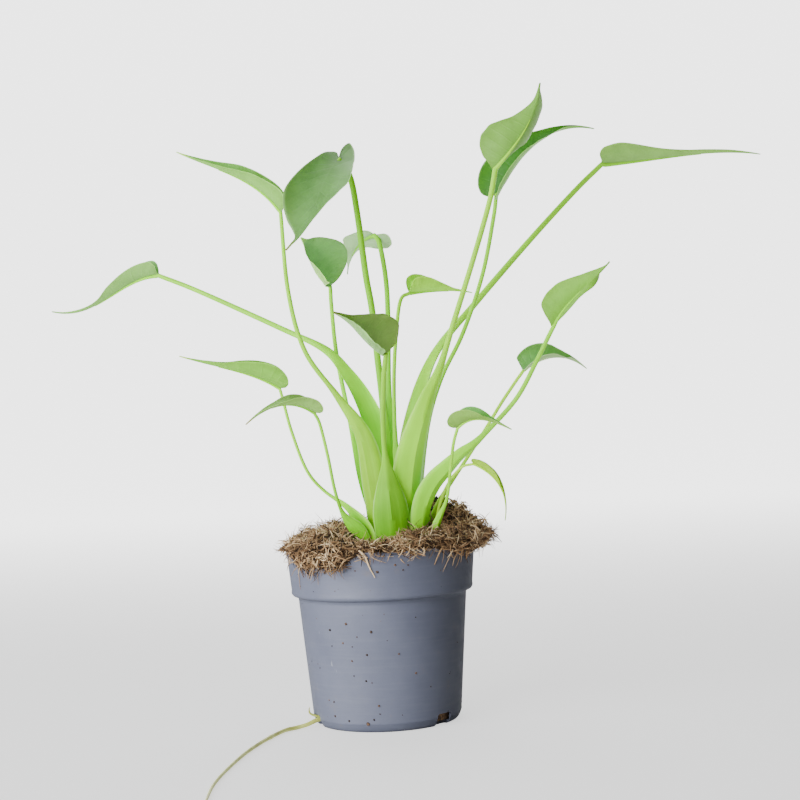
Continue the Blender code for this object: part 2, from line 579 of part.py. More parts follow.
def make_soil(leaves):
    """Fibrous plug that fills the pot, heaped over the rim, with a plain hole for every stalk."""
    earth = material("soil_fibre", (0.16, 0.095, 0.045), 0.95)
    dice = random.Random(7)
    rim_in = RIM_RADIUS - WALL - GAP
    rim_out = RIM_RADIUS + GAP
    over = RIM_HEIGHT + GAP
    bottom = FLOOR + GAP
    wall_top = BAND_BOTTOM - STEP_DROP
    profile = [(0, bottom), (inner_radius(bottom) - 0.0014, bottom),
               (inner_radius(wall_top) - SOIL_CLEARANCE, wall_top),
               (inner_radius(BAND_BOTTOM) - SOIL_CLEARANCE, BAND_BOTTOM + SOIL_CLEARANCE),
               (rim_in, over), (rim_out, over)]
    hang_from = len(profile) - 1
    profile += [(rim_out, over - 0.004), (rim_out + 0.0030, over - 0.004), (rim_out + 0.0045, over + 0.002)]
    heap_from = len(profile) - 1
    for i in range(SOIL_RINGS):
        share = 1.0 - (i + 0.4) / SOIL_RINGS
        profile.append((rim_out * share, HEAP_LOWEST))
    profile.append((0, soil_height(0, 0)))

    def wobble(k, angle, p):
        spread = noise.noise(Vector((math.cos(angle) * 2.2, math.sin(angle) * 2.2, 3.0)))
        fine = noise.noise(Vector((math.cos(angle) * 6.5, math.sin(angle) * 6.5, 9.0)))
        right = max(0.0, math.cos(angle - math.radians(12))) ** 6
        left = max(0.0, math.cos(angle - math.radians(235))) ** 3
        if k == hang_from:
            return Vector((p.x, p.y, over - 0.0015 - 0.0055 * left - 0.0030 * max(0.0, spread)))
        if k == hang_from + 1:
            reach = rim_out + 0.0012 + 0.0014 * (1 + fine) + 0.0040 * right
            drop = over - 0.0020 - 0.0060 * left - 0.0030 * max(0.0, spread)
            return Vector((reach * math.cos(angle), reach * math.sin(angle), drop))
        if k == heap_from - 1:
            reach = rim_out + 0.0016 + 0.0016 * (1 + fine) + 0.0085 * right
            lift = soil_height(reach * math.cos(angle), reach * math.sin(angle)) - 0.0020
            return Vector((reach * math.cos(angle), reach * math.sin(angle), lift))
        if k > heap_from - 1:
            rough = noise.noise(p * 210.0) * RELIEF + dice.uniform(-0.5, 0.5) * RELIEF
            return Vector((p.x, p.y, max(over + SOIL_CLEARANCE, soil_height(p.x, p.y) + rough)))
        return p

    soil = mesh_object("soil", *turned(profile, POT_SIDES, wobble), earth)
    tufts = new_group("soil_tufts")
    for i in range(TUFT_COUNT):
        angle = dice.uniform(0, 2 * math.pi)
        reach = TUFT_RING * math.sqrt(dice.uniform(0.15, 1.0))
        foot = Vector((reach * math.cos(angle), reach * math.sin(angle), 0.0))
        foot.z = soil_height(foot.x, foot.y) - TUFT_SUNK
        lean = Vector((dice.gauss(0, 0.8), dice.gauss(0, 0.8), dice.uniform(0.25, 0.9)))
        lean += foot.normalized() * 0.5
        tip = foot + lean.normalized() * TUFT_LENGTH * dice.uniform(0.6, 1.0)
        side = lean.cross(Vector((0, 0, 1))).normalized() * TUFT_RADIUS
        other = lean.cross(side).normalized() * TUFT_RADIUS
        base = [foot + side, foot - side * 0.5 + other * 0.87, foot - side * 0.5 - other * 0.87]
        mesh_object(f"tuft_{i}", base + [tip], [(0, 1, 2), (0, 1, 3), (1, 2, 3), (2, 0, 3)], earth, tufts)
    bpy.context.view_layer.update()
    cut(soil, tufts, "UNION")
    holes = new_group("soil_holes")
    for name, leaf in leaves.items():
        mesh_object(f"hole_{name}", *tube(stalk_sections(leaf, GAP * 1.3, True, 0.34)), earth, holes)
    mesh_object("hole_corm", *corm_shape(GAP), earth, holes)
    mesh_object("hole_root", *tube(root_sections(GAP)), earth, holes)
    bpy.context.view_layer.update()
    cut(soil, holes)
    keep_main_body(soil)
    return soil


def corm_shape(grow=0.0):
    """Squat rounded stem under the soil, flat on top where the stalks stand."""
    wide, deep = CORM_RADII
    sections = []
    for share, level in CORM_PROFILE:
        height = CORM_TOP - CORM_HEIGHT * (1.0 - level)
        if level == 1.0:
            height += grow
        if level == 0.0:
            height -= grow
        ring = []
        for k in range(CORM_SIDES):
            turn = 2 * math.pi * k / CORM_SIDES
            x = CORM_CENTRE[0] + (wide * share + grow) * math.cos(turn)
            y = CORM_CENTRE[1] + (deep * share + grow) * math.sin(turn)
            ring.append(Vector((x, y, height)))
        sections.append(ring)
    return tube(sections)


def make_corm():
    return mesh_object("corm", *corm_shape(), material("corm_skin", (0.24, 0.17, 0.09), 0.85))


def root_sections(grow=0.0):
    path = curve_through(ROOT_POINTS, ROOT_STATIONS)
    rings = []
    for i, (centre, way) in enumerate(zip(path, tangents(path))):
        radius = blend(ROOT_RADIUS, ROOT_TIP_RADIUS, i / (len(path) - 1)) + grow
        if i == 0:
            centre = centre - way * grow
        side = way.cross(Vector((0, 0, 1))).normalized()
        up = side.cross(way)
        ring = []
        for k in range(ROOT_SIDES):
            turn = 2 * math.pi * (k + 0.5) / ROOT_SIDES
            ring.append(centre + side * radius * math.cos(turn) + up * radius * math.sin(turn))
        rings.append(ring)
    return rings


def make_root():
    skin = material("root_skin", (0.52, 0.55, 0.22), 0.55)
    return mesh_object("trailing_root", *tube(root_sections()), skin)


def make_stalks():
    """Leaf stalks, which stand on the corm in a whorl and clasp one another without touching."""
    lime = material("stalk_green", (0.36, 0.58, 0.14), 0.38)
    for name, leaf in LEAVES.items():
        mesh_object(f"stalk_{name}", *tube(stalk_sections(leaf)), lime)


def make_blades():
    """Cupped arrow-heart blades, each folded along its midrib and drawn out into a drip tip."""
    green = material("blade_green", (0.13, 0.29, 0.11), 0.35)
    for name, leaf in LEAVES.items():
        mesh_object(f"blade_{name}", *blade_mesh(leaf), green)


clear_scene()
make_pot()
make_corm()
make_root()
make_stalks()
make_blades()
make_soil(LEAVES)
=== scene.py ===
import math
import random

import bmesh
import bpy
import numpy as np
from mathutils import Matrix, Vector, noise


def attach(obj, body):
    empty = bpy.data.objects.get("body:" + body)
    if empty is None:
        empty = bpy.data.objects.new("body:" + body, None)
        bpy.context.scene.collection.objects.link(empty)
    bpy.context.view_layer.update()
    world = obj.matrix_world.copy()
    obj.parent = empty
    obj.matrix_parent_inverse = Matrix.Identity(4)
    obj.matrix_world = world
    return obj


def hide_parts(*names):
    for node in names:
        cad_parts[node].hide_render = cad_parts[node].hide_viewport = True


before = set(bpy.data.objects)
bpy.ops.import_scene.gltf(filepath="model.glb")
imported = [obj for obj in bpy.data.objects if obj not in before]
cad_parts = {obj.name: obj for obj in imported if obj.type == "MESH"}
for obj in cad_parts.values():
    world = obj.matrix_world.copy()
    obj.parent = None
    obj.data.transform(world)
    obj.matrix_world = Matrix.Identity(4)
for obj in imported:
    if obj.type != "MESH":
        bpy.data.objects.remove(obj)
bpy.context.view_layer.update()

# Studio: the camera stands at the height of the middle leaves and looks level at the plant, a little rolled.
# A pale floor sweeps up into a backdrop, a large soft light stands on the left and a weaker one in front.
for obj in bpy.context.selected_objects:
    obj.select_set(False)

picture_pixels = 800.0
focal_pixels = 1666.0
lens = bpy.data.cameras.new("camera")
lens.sensor_width = 36.0
lens.lens = 36.0 * focal_pixels / picture_pixels
camera = bpy.data.objects.new("camera", lens)
camera.location = (0.01474, -0.928, 0.17691)
camera.rotation_euler = (math.radians(90.0), math.radians(2.66), 0.0)
bpy.context.scene.collection.objects.link(camera)
bpy.context.scene.camera = camera


def soft_light(name, place, aim, width, height, power, colour):
    """Hangs a rectangular light at one place and points it at another."""
    lamp = bpy.data.lights.new(name, "AREA")
    lamp.shape = "RECTANGLE"
    lamp.size = width
    lamp.size_y = height
    lamp.energy = power
    lamp.color = colour
    holder = bpy.data.objects.new(name, lamp)
    holder.location = place
    look = Vector(aim) - Vector(place)
    holder.rotation_euler = look.to_track_quat("-Z", "Y").to_euler()
    bpy.context.scene.collection.objects.link(holder)


soft_light("window_left", (-0.98, -0.92, 0.50), (0.0, 0.0, 0.12), 1.3, 1.2, 50.0, (0.97, 0.99, 1.0))
soft_light("front_fill", (-0.40, -1.50, 1.10), (0.0, 0.0, 0.20), 0.9, 0.8, 4.0, (1.0, 1.0, 1.0))
soft_light("top_back", (-0.10, 0.60, 1.20), (0.0, 0.0, 0.20), 1.2, 1.0, 12.0, (1.0, 1.0, 1.0))

daylight = bpy.data.worlds.new("daylight")
daylight.use_nodes = True
daylight.node_tree.nodes["Background"].inputs["Color"].default_value = (1.0, 1.0, 1.0, 1.0)
daylight.node_tree.nodes["Background"].inputs["Strength"].default_value = 0.10
bpy.context.scene.world = daylight

sheet_width = 8.0
sheet_length = 8.4
front_edge = -2.6
straight = 4.6
bend = 1.6
bpy.ops.mesh.primitive_grid_add(x_subdivisions=2, y_subdivisions=60, size=2.0)
floor = bpy.context.active_object
floor.name = "floor"
for vert in floor.data.vertices:
    run = (vert.co.y + 1.0) * sheet_length / 2
    turn = min(max(run - straight, 0.0) / bend, math.pi / 2)
    rise = max(run - straight - bend * math.pi / 2, 0.0)
    vert.co = (vert.co.x * sheet_width / 2, front_edge + min(run, straight) + bend * math.sin(turn),
               bend * (1.0 - math.cos(turn)) + rise)
bpy.ops.object.shade_smooth()
paper = bpy.data.materials.new("backdrop_paper")
paper.use_nodes = True
shade = paper.node_tree.nodes["Principled BSDF"]
shade.inputs["Base Color"].default_value = (0.30, 0.30, 0.302, 1.0)
shade.inputs["Roughness"].default_value = 0.9
shade.inputs["Specular IOR Level"].default_value = 0.1
shade.inputs["Emission Color"].default_value = (1.0, 1.0, 1.0, 1.0)
split = paper.node_tree.nodes.new("ShaderNodeSeparateXYZ")
where = paper.node_tree.nodes.new("ShaderNodeTexCoord")
glow = paper.node_tree.nodes.new("ShaderNodeMapRange")
glow.interpolation_type = "SMOOTHSTEP"
for socket, value in (("From Min", 0.15), ("From Max", 1.9), ("To Min", 1.15), ("To Max", 3.2)):
    glow.inputs[socket].default_value = value
paper.node_tree.links.new(where.outputs["Object"], split.inputs["Vector"])
paper.node_tree.links.new(split.outputs["Y"], glow.inputs["Value"])
paper.node_tree.links.new(glow.outputs["Result"], shade.inputs["Emission Strength"])
floor.data.materials.append(paper)

# Nursery pot: one thin injection moulding in blue-grey polypropylene. Its tapered wall steps out into a band
# below the rim, and it has three drain slots at the foot and six holes in the floor.
pot_rings = [
    (0.038, 0.0), (0.0389, 0.0004), (0.0397, 0.0013), (0.0404, 0.0026), (0.0409, 0.004), (0.0412, 0.0046),
    (0.04125, 0.005), (0.0412, 0.0054), (0.0466, 0.0686), (0.0467, 0.0697), (0.0473, 0.0706), (0.0486, 0.0711),
    (0.0497, 0.0716), (0.05035, 0.0725), (0.05045, 0.0735), (0.0503, 0.0745), (0.0523, 0.0957), (0.0525, 0.0965),
    (0.0524, 0.0972), (0.052, 0.0975), (0.0515, 0.0974), (0.0511, 0.0968), (0.0488, 0.0724), (0.0452, 0.0676),
    (0.0397, 0.0022), (0.0392, 0.0020)]
pot_steps = 180
wall_low, wall_high = pot_rings[7], pot_rings[8]
band_bottom = 0.0735
band_low, band_high = pot_rings[15], pot_rings[16]
slot_angles = (199.0, 319.0, 79.0)
slot_depth = 0.011
slot_width = 0.011
slot_height = 0.0068
slot_reach = 0.041
slot_rounding = 0.0016
below_foot = 0.004
drains = 6
drain_radius = 0.0035
drain_circle = 0.027


def only(obj):
    """Deselects everything, then selects one object and makes it the active one."""
    for other in bpy.context.selected_objects:
        other.select_set(False)
    obj.select_set(True)
    bpy.context.view_layer.objects.active = obj


def apply_modifiers(obj):
    """Makes an object's modifiers part of its mesh."""
    only(obj)
    for modifier in list(obj.modifiers):
        bpy.ops.object.modifier_apply(modifier=modifier.name)


def node(tree, kind, **values):
    """Adds a shader node and sets its inputs and properties by name."""
    made = tree.nodes.new(kind)
    for name, value in values.items():
        if name in made.inputs:
            made.inputs[name].default_value = value
        else:
            setattr(made, name, value)
    return made


def pattern(tree, source, scale, detail=3.0, rough=0.55, stretch=(1.0, 1.0, 1.0), distort=0.0):
    """Noise at a scale, in the object's own coordinates or along its UV map."""
    stretched = node(tree, "ShaderNodeMapping")
    stretched.inputs["Scale"].default_value = stretch
    tree.links.new(source, stretched.inputs["Vector"])
    made = node(tree, "ShaderNodeTexNoise", Scale=scale, Detail=detail, Roughness=rough, Distortion=distort)
    tree.links.new(stretched.outputs["Vector"], made.inputs["Vector"])
    return made.outputs["Fac"]


def ramp(tree, source, stops):
    """Colour ramp with (position, colour) stops."""
    band = node(tree, "ShaderNodeValToRGB")
    while len(band.color_ramp.elements) < len(stops):
        band.color_ramp.elements.new(0.5)
    for element, (place, colour) in zip(band.color_ramp.elements, stops):
        element.position = place
        element.color = (*colour, 1.0)
    tree.links.new(source, band.inputs["Fac"])
    return band.outputs["Color"]


def window(tree, source, low, high, start=0.0, end=1.0):
    """Maps a value smoothly from one range to another."""
    made = node(tree, "ShaderNodeMapRange", interpolation_type="SMOOTHSTEP")
    made.inputs["From Min"].default_value = low
    made.inputs["From Max"].default_value = high
    made.inputs["To Min"].default_value = start
    made.inputs["To Max"].default_value = end
    tree.links.new(source, made.inputs["Value"])
    return made.outputs["Result"]


def mixed(tree, share, first, second):
    """Mixes two colours, each a socket or a plain colour, by a socket or a number."""
    made = node(tree, "ShaderNodeMix", data_type="RGBA")
    sockets = [s for s in made.inputs if s.type == "RGBA"]
    factor = [s for s in made.inputs if s.name == "Factor" and s.type == "VALUE"][0]
    for socket, value in ((sockets[0], first), (sockets[1], second)):
        if isinstance(value, bpy.types.NodeSocket):
            tree.links.new(value, socket)
        else:
            socket.default_value = (*value, 1.0)
    if isinstance(share, bpy.types.NodeSocket):
        tree.links.new(share, factor)
    else:
        factor.default_value = share
    return [s for s in made.outputs if s.type == "RGBA"][0]


def sums(tree, operation, first, second):
    """One step of arithmetic, on sockets or numbers."""
    made = node(tree, "ShaderNodeMath", operation=operation)
    for k, value in enumerate((first, second)):
        if isinstance(value, bpy.types.NodeSocket):
            tree.links.new(value, made.inputs[k])
        else:
            made.inputs[k].default_value = value
    return made.outputs["Value"]


def own(tree):
    """The object's own coordinates."""
    return node(tree, "ShaderNodeTexCoord").outputs["Object"]


def grain(tree, *sizes, **more):
    """Noise in the object's own coordinates."""
    return pattern(tree, own(tree), *sizes, **more)


def axes(tree, source):
    """The X, Y and Z of a socket of coordinates."""
    split = node(tree, "ShaderNodeSeparateXYZ")
    tree.links.new(source, split.inputs["Vector"])
    return split.outputs


def finish(name, colour, roughness, bumps=(), gloss=0.5):
    """A Principled material. colour is a function of the tree that gives a colour socket. Each bump is such
    a function for a height, or the sizes of plain grain, with a strength and a distance."""
    made = bpy.data.materials.new(name)
    made.use_nodes = True
    tree = made.node_tree
    shader = tree.nodes["Principled BSDF"]
    tree.links.new(colour(tree), shader.inputs["Base Color"])
    if callable(roughness):
        tree.links.new(roughness(tree), shader.inputs["Roughness"])
    else:
        shader.inputs["Roughness"].default_value = roughness
    shader.inputs["Specular IOR Level"].default_value = gloss
    previous = None
    for height, strength, distance in bumps:
        bump = node(tree, "ShaderNodeBump", Strength=strength, Distance=distance)
        tree.links.new(height(tree) if callable(height) else grain(tree, *height), bump.inputs["Height"])
        if previous:
            tree.links.new(previous, bump.inputs["Normal"])
        previous = bump.outputs["Normal"]
    if previous:
        tree.links.new(previous, shader.inputs["Normal"])
    return made


def pot_colour(tree):
    """Blue-grey with soft clouds and streaks, dust at the foot and under the rim, and a few scratches."""
    cloudy = grain(tree, 28.0, 4.0)
    streaks = grain(tree, 60.0, 3.0, stretch=(0.6, 0.6, 9.0))
    base = ramp(tree, cloudy, [(0.30, (0.130, 0.140, 0.196)), (0.70, (0.164, 0.176, 0.238))])
    base = mixed(tree, window(tree, streaks, 0.45, 0.75, 0.0, 0.22), base, (0.200, 0.212, 0.262))
    dust = window(tree, grain(tree, 110.0, 6.0, 0.7), 0.56, 0.74, 0.0, 0.35)
    height = axes(tree, own(tree))["Z"]
    low = window(tree, height, 0.004, 0.030, 1.0, 0.25)
    high = window(tree, height, 0.070, 0.092, 0.0, 0.8)
    dusty = sums(tree, "MULTIPLY", dust, sums(tree, "MAXIMUM", low, high))
    base = mixed(tree, dusty, base, (0.24, 0.19, 0.14))
    scratch = grain(tree, 420.0, 2.0, stretch=(1.0, 1.0, 0.10), distort=1.5)
    rare = window(tree, grain(tree, 45.0, 1.0), 0.60, 0.66)
    scratch = sums(tree, "MULTIPLY", window(tree, scratch, 0.70, 0.76, 0.0, 0.6), rare)
    return mixed(tree, scratch, base, (0.42, 0.44, 0.48))


def pot_roughness(tree):
    """Satin, with duller patches."""
    return window(tree, grain(tree, 90.0, 5.0, 0.65), 0.30, 0.75, 0.38, 0.52)


pot_plastic = finish("pot_plastic", pot_colour, pot_roughness, [
    ((900.0, 3.0), 0.10, 0.0002), ((55.0, 2.0, 0.55, (1.0, 1.0, 3.0)), 0.10, 0.0006)], 0.35)

bpy.ops.mesh.primitive_circle_add(vertices=pot_steps, radius=pot_rings[0][0], fill_type="NGON")
pot = bpy.context.active_object
pot.name = "nursery_pot"
bpy.ops.object.mode_set(mode="EDIT")
bpy.ops.mesh.select_all(action="SELECT")
for (radius, height), (next_radius, next_height) in zip(pot_rings, pot_rings[1:]):
    bpy.ops.mesh.extrude_region_move(TRANSFORM_OT_translate={"value": (0.0, 0.0, next_height - height)})
    share = next_radius / radius
    bpy.ops.transform.resize(value=(share, share, 1.0), center_override=(0.0, 0.0, next_height))
bpy.ops.mesh.select_all(action="SELECT")
bpy.ops.mesh.normals_make_consistent(inside=False)
bpy.ops.object.mode_set(mode="OBJECT")


def drill(target, cutter):
    """Takes a cutter's shape out of a piece, then removes the cutter."""
    hole = target.modifiers.new("hole", "BOOLEAN")
    hole.operation = "DIFFERENCE"
    hole.solver = "EXACT"
    hole.object = cutter
    apply_modifiers(target)
    bpy.data.objects.remove(cutter)


for angle in slot_angles:
    turn = math.radians(angle)
    bpy.ops.mesh.primitive_cube_add(size=1.0)
    slot = bpy.context.active_object
    slot.scale = (slot_depth, slot_width, slot_height + below_foot)
    slot.location = (slot_reach * math.cos(turn), slot_reach * math.sin(turn), (slot_height - below_foot) / 2)
    slot.rotation_euler = (0.0, 0.0, turn)
    bpy.ops.object.transform_apply(location=True, rotation=True, scale=True)
    soften = slot.modifiers.new("rounded", "BEVEL")
    soften.width = slot_rounding
    soften.segments = 4
    apply_modifiers(slot)
    drill(pot, slot)
for k in range(drains):
    turn = 2 * math.pi * (k + 0.5) / drains
    bpy.ops.mesh.primitive_cylinder_add(
        vertices=40, radius=drain_radius, depth=0.008,
        location=(drain_circle * math.cos(turn), drain_circle * math.sin(turn), 0.001))
    drain = bpy.context.active_object
    bpy.ops.object.transform_apply(location=True, rotation=True, scale=True)
    drill(pot, drain)
only(pot)
bpy.ops.object.shade_smooth_by_angle(angle=math.radians(38.0))
pot.data.materials.clear()
pot.data.materials.append(pot_plastic)
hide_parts("pot")
# The floor's own glow is kept off the pot, whose right side is in the shade.
shaded = bpy.data.collections.new("kept_from_floor_glow")
shaded.objects.link(pot)
shaded.collection_objects[0].light_linking.link_state = "EXCLUDE"
floor.light_linking.receiver_collection = shaded
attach(pot, "root")

# Specks of wet peat stuck to the pot's wall: small flattened crumbs, most of them on the front left and under
# the rim. Each is given by its compass angle, its height and its width.
speck_places = [
    (255.6, 0.0052, 0.0019), (264.6, 0.0149, 0.0012), (227.6, 0.0085, 0.0011), (231.3, 0.0556, 0.0013),
    (244.8, 0.0592, 0.0014), (262.0, 0.0548, 0.0014), (258.2, 0.0425, 0.0012), (247.0, 0.0392, 0.0010),
    (256.3, 0.0285, 0.0011), (292.3, 0.0312, 0.0011), (280.3, 0.0423, 0.0010), (252.0, 0.0522, 0.0008),
    (268.3, 0.0871, 0.0015), (241.2, 0.0488, 0.0010), (247.6, 0.0311, 0.0008), (260.5, 0.0274, 0.0007),
    (265.0, 0.0105, 0.0008), (260.3, 0.0074, 0.0010), (240.4, 0.0065, 0.0011), (228.0, 0.0162, 0.0010),
    (222.8, 0.0169, 0.0009), (231.6, 0.0469, 0.0007), (243.2, 0.0886, 0.0010), (255.3, 0.0880, 0.0008),
    (279.0, 0.0903, 0.0012), (283.6, 0.0874, 0.0009), (286.7, 0.0898, 0.0010), (216.2, 0.0340, 0.0007),
    (214.1, 0.0360, 0.0006)]
stray_specks = 70


def wall_radius(height):
    """How far the pot's outer face is from its middle, on the wall or on the band under the rim."""
    low, high = (band_low, band_high) if height > band_bottom else (wall_low, wall_high)
    return low[0] + (height - low[1]) * (high[0] - low[0]) / (high[1] - low[1])


def crumb(width, flat, dice):
    """One crumb: a low-poly ball pushed out of round and flattened, at the origin."""
    bpy.ops.mesh.primitive_ico_sphere_add(subdivisions=2, radius=width / 2)
    made = bpy.context.active_object
    for vert in made.data.vertices:
        vert.co *= 1.0 + dice.uniform(-0.22, 0.22)
        vert.co.x *= flat
        vert.co.z *= dice.uniform(0.9, 1.1)
    return made


def joined(objects, name):
    """Makes one object of several, and applies its place and turn to its mesh."""
    only(objects[0])
    for obj in objects:
        obj.select_set(True)
    bpy.ops.object.join()
    made = bpy.context.active_object
    made.name = name
    only(made)
    bpy.ops.object.transform_apply(location=True, rotation=True, scale=True)
    return made


def speckled(stops, *sizes, **more):
    """A colour that runs through a ramp's stops as plain grain does."""
    return lambda tree: ramp(tree, grain(tree, *sizes, **more), stops)


dice = random.Random(41)
places = list(speck_places)
for k in range(stray_specks):
    height = dice.choice([dice.uniform(0.004, 0.068), dice.uniform(0.076, 0.094)])
    places.append((dice.uniform(0.0, 360.0), height, dice.uniform(0.0003, 0.0007)))
specks = []
for angle, height, width in places:
    made = crumb(width, 0.55, dice)
    turn = math.radians(angle)
    reach = wall_radius(height) + width * 0.12
    made.location = (reach * math.cos(turn), reach * math.sin(turn), height)
    made.rotation_euler = (0.0, 0.0, turn)
    specks.append(made)
specks = joined(specks, "peat_specks")
bpy.ops.object.shade_smooth()
specks.data.materials.clear()
specks.data.materials.append(finish(
    "wet_peat", speckled([(0.42, (0.022, 0.013, 0.009)), (0.66, (0.17, 0.09, 0.05))], 160.0, 3.0),
    0.85, [((2500.0, 3.0), 0.5, 0.0002)]))
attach(specks, "root")

# Corm: the squat stem of brown-skinned living tissue that the leaves and roots grow from. It is held by
# the soil packed round it, and out of sight.
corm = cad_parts["corm"]
corm.data.materials.clear()
corm.data.materials.append(finish(
    "corm_skin", speckled([(0.3, (0.10, 0.06, 0.03)), (0.7, (0.30, 0.20, 0.11))], 220.0, 5.0),
    0.9, [((500.0, 4.0), 0.5, 0.001)]))

# Leaves: sixteen of them, each one growth of a clasping sheath, a long round stalk and a cupped arrow-heart
# blade with a drip tip. They are soft living tissue, and stand on the corm in a whorl, with the outer sheaths
# wrapped round the inner ones.
stalk_stations = 84
stalk_sides = 28
rib_stations = 26
rib_reach = 0.62
rib_end = 0.00020
sheath_thickness = 0.0015
sheath_depth = 0.52
blade_thickness = 0.00046
blade_rows = 77
blade_strips = 14
under_start = 0.52
face_width = 0.48
vein_pairs = 13.0
tail_fold = 72.0
cup = 26.0
ripple = 0.0011
edge_shape = [(0.000, 0.09), (-0.035, 0.26), (-0.035, 0.56), (0.018, 0.84), (0.105, 1.00), (0.235, 0.96),
              (0.370, 0.78), (0.500, 0.54), (0.620, 0.33), (0.740, 0.18), (0.870, 0.09), (1.000, 0.030)]
vein_starts = [0.000, 0.012, 0.030, 0.060, 0.115, 0.205, 0.320, 0.450, 0.580, 0.710, 0.855, 1.000]


def smooth(low, high, value):
    """Goes from 0 to 1, with a soft start and end, while the value goes from low to high."""
    share = min(1.0, max(0.0, (value - low) / (high - low)))
    return share * share * (3.0 - 2.0 * share)


def between(first, second, share):
    """The value a share of the way from the first to the second."""
    return first + (second - first) * share


def spline(before, here, there, after, t):
    """One step of a smooth curve through knots, at t between here and there."""
    return 0.5 * (2 * here + (there - before) * t + (2 * before - 5 * here + 4 * there - after) * t * t
                  + (3 * here - before - 3 * there + after) * t ** 3)


def knot_value(values, at):
    """Value of a smooth curve through evenly spaced knots."""
    i = min(int(at), len(values) - 2)
    before = values[i - 1] if i > 0 else 2 * values[0] - values[1]
    after = values[i + 2] if i + 2 < len(values) else 2 * values[-1] - values[-2]
    return spline(before, values[i], values[i + 1], after, at - i)


def curve_through(points, count):
    """Evenly spaced points of a smooth curve through the given ones."""
    knots = [Vector(p) for p in points]
    knots = [knots[0] * 2 - knots[1]] + knots + [knots[-1] * 2 - knots[-2]]
    steps = 24
    fine = [spline(*knots[i - 1:i + 3], k / steps) for i in range(1, len(knots) - 2) for k in range(steps)]
    fine.append(knots[-2])
    lengths = [0.0]
    for first, second in zip(fine, fine[1:]):
        lengths.append(lengths[-1] + (second - first).length)
    spaced = []
    k = 0
    for i in range(count):
        goal = lengths[-1] * i / (count - 1)
        while k < len(fine) - 2 and lengths[k + 1] < goal:
            k += 1
        share = min(1.0, (goal - lengths[k]) / (lengths[k + 1] - lengths[k]))
        spaced.append(fine[k].lerp(fine[k + 1], share))
    return spaced


def tangents(points):
    """The way that a line of points runs at each of them."""
    last = len(points) - 1
    return [(points[min(i + 1, last)] - points[max(i - 1, 0)]).normalized() for i in range(last + 1)]


def bow(heights, share):
    """Height of a curve that is nought at both ends and has heights given at a third and three quarters."""
    knots = [(0.0, 0.0), (0.33, heights[0]), (0.75, heights[1]), (1.0, 0.0)]
    total = 0.0
    for i, (at, height) in enumerate(knots):
        term = height
        for k, (other, _) in enumerate(knots):
            if k != i:
                term *= (share - other) / (at - other)
        total += term
    return total


def midrib(leaf, share):
    """A point of the midrib, with its direction and the way that the upper side faces there."""
    base = Vector(leaf["stalk"][-1])
    tip = Vector(leaf["tip"])
    length = (tip - base).length
    straight = (tip - base) / length
    face = Vector(leaf["face"])
    up = (face - straight * face.dot(straight)).normalized()
    aside = straight.cross(up)
    arch = leaf["arch"]
    sway = leaf.get("sway", (0.0, 0.0))

    def place(s):
        return base + straight * length * s + up * bow(arch, s) + aside * bow(sway, s)

    clamped = max(0.0, share)
    way = (place(clamped + 0.01) - place(max(0.0, clamped - 0.01))).normalized()
    normal = (up - way * up.dot(way)).normalized()
    return place(clamped) + way * (share - clamped) * length, way, normal


def edge_point(leaf, half, row):
    """Where an edge point lies, along the blade and across it. A leaf may have an outline of its own, or
    other lobes. The first point lies between the stalk and the lobe's back."""
    if "edge" in leaf and 0 < row < len(edge_shape) - 1:
        return leaf["edge"][half][row - 1]
    along, across = edge_shape[row]
    if row == 0:
        return 0.35 * edge_point(leaf, half, 1)[0] - 0.002, across
    if along > 0:
        return along ** leaf.get("full", 1.0), across
    lobe = leaf.get("lobe", 1.0)
    if lobe < 0:
        return along * lobe * across / edge_shape[2][1], across
    return along * lobe, across


def piece_of(name, points, faces):
    """A new object with a mesh of these points and faces."""
    mesh = bpy.data.meshes.new(name)
    mesh.from_pydata([tuple(p) for p in points], [], faces)
    made = bpy.data.objects.new(name, mesh)
    bpy.context.scene.collection.objects.link(made)
    return made


def tube_faces(sections, sides):
    """The faces of a closed tube: a cap, the wall from section to section, and the other cap."""
    faces = [tuple(reversed(range(sides)))]
    for i in range(sections - 1):
        for k in range(sides):
            a = i * sides + k
            b = i * sides + (k + 1) % sides
            faces.append((a, b, b + sides, a + sides))
    faces.append(tuple((sections - 1) * sides + k for k in range(sides)))
    return faces


def give_values(mesh, name, values):
    """Keeps a value of that name with every point of a mesh."""
    mesh.attributes.new(name, "FLOAT", "POINT").data.foreach_set("value", values)


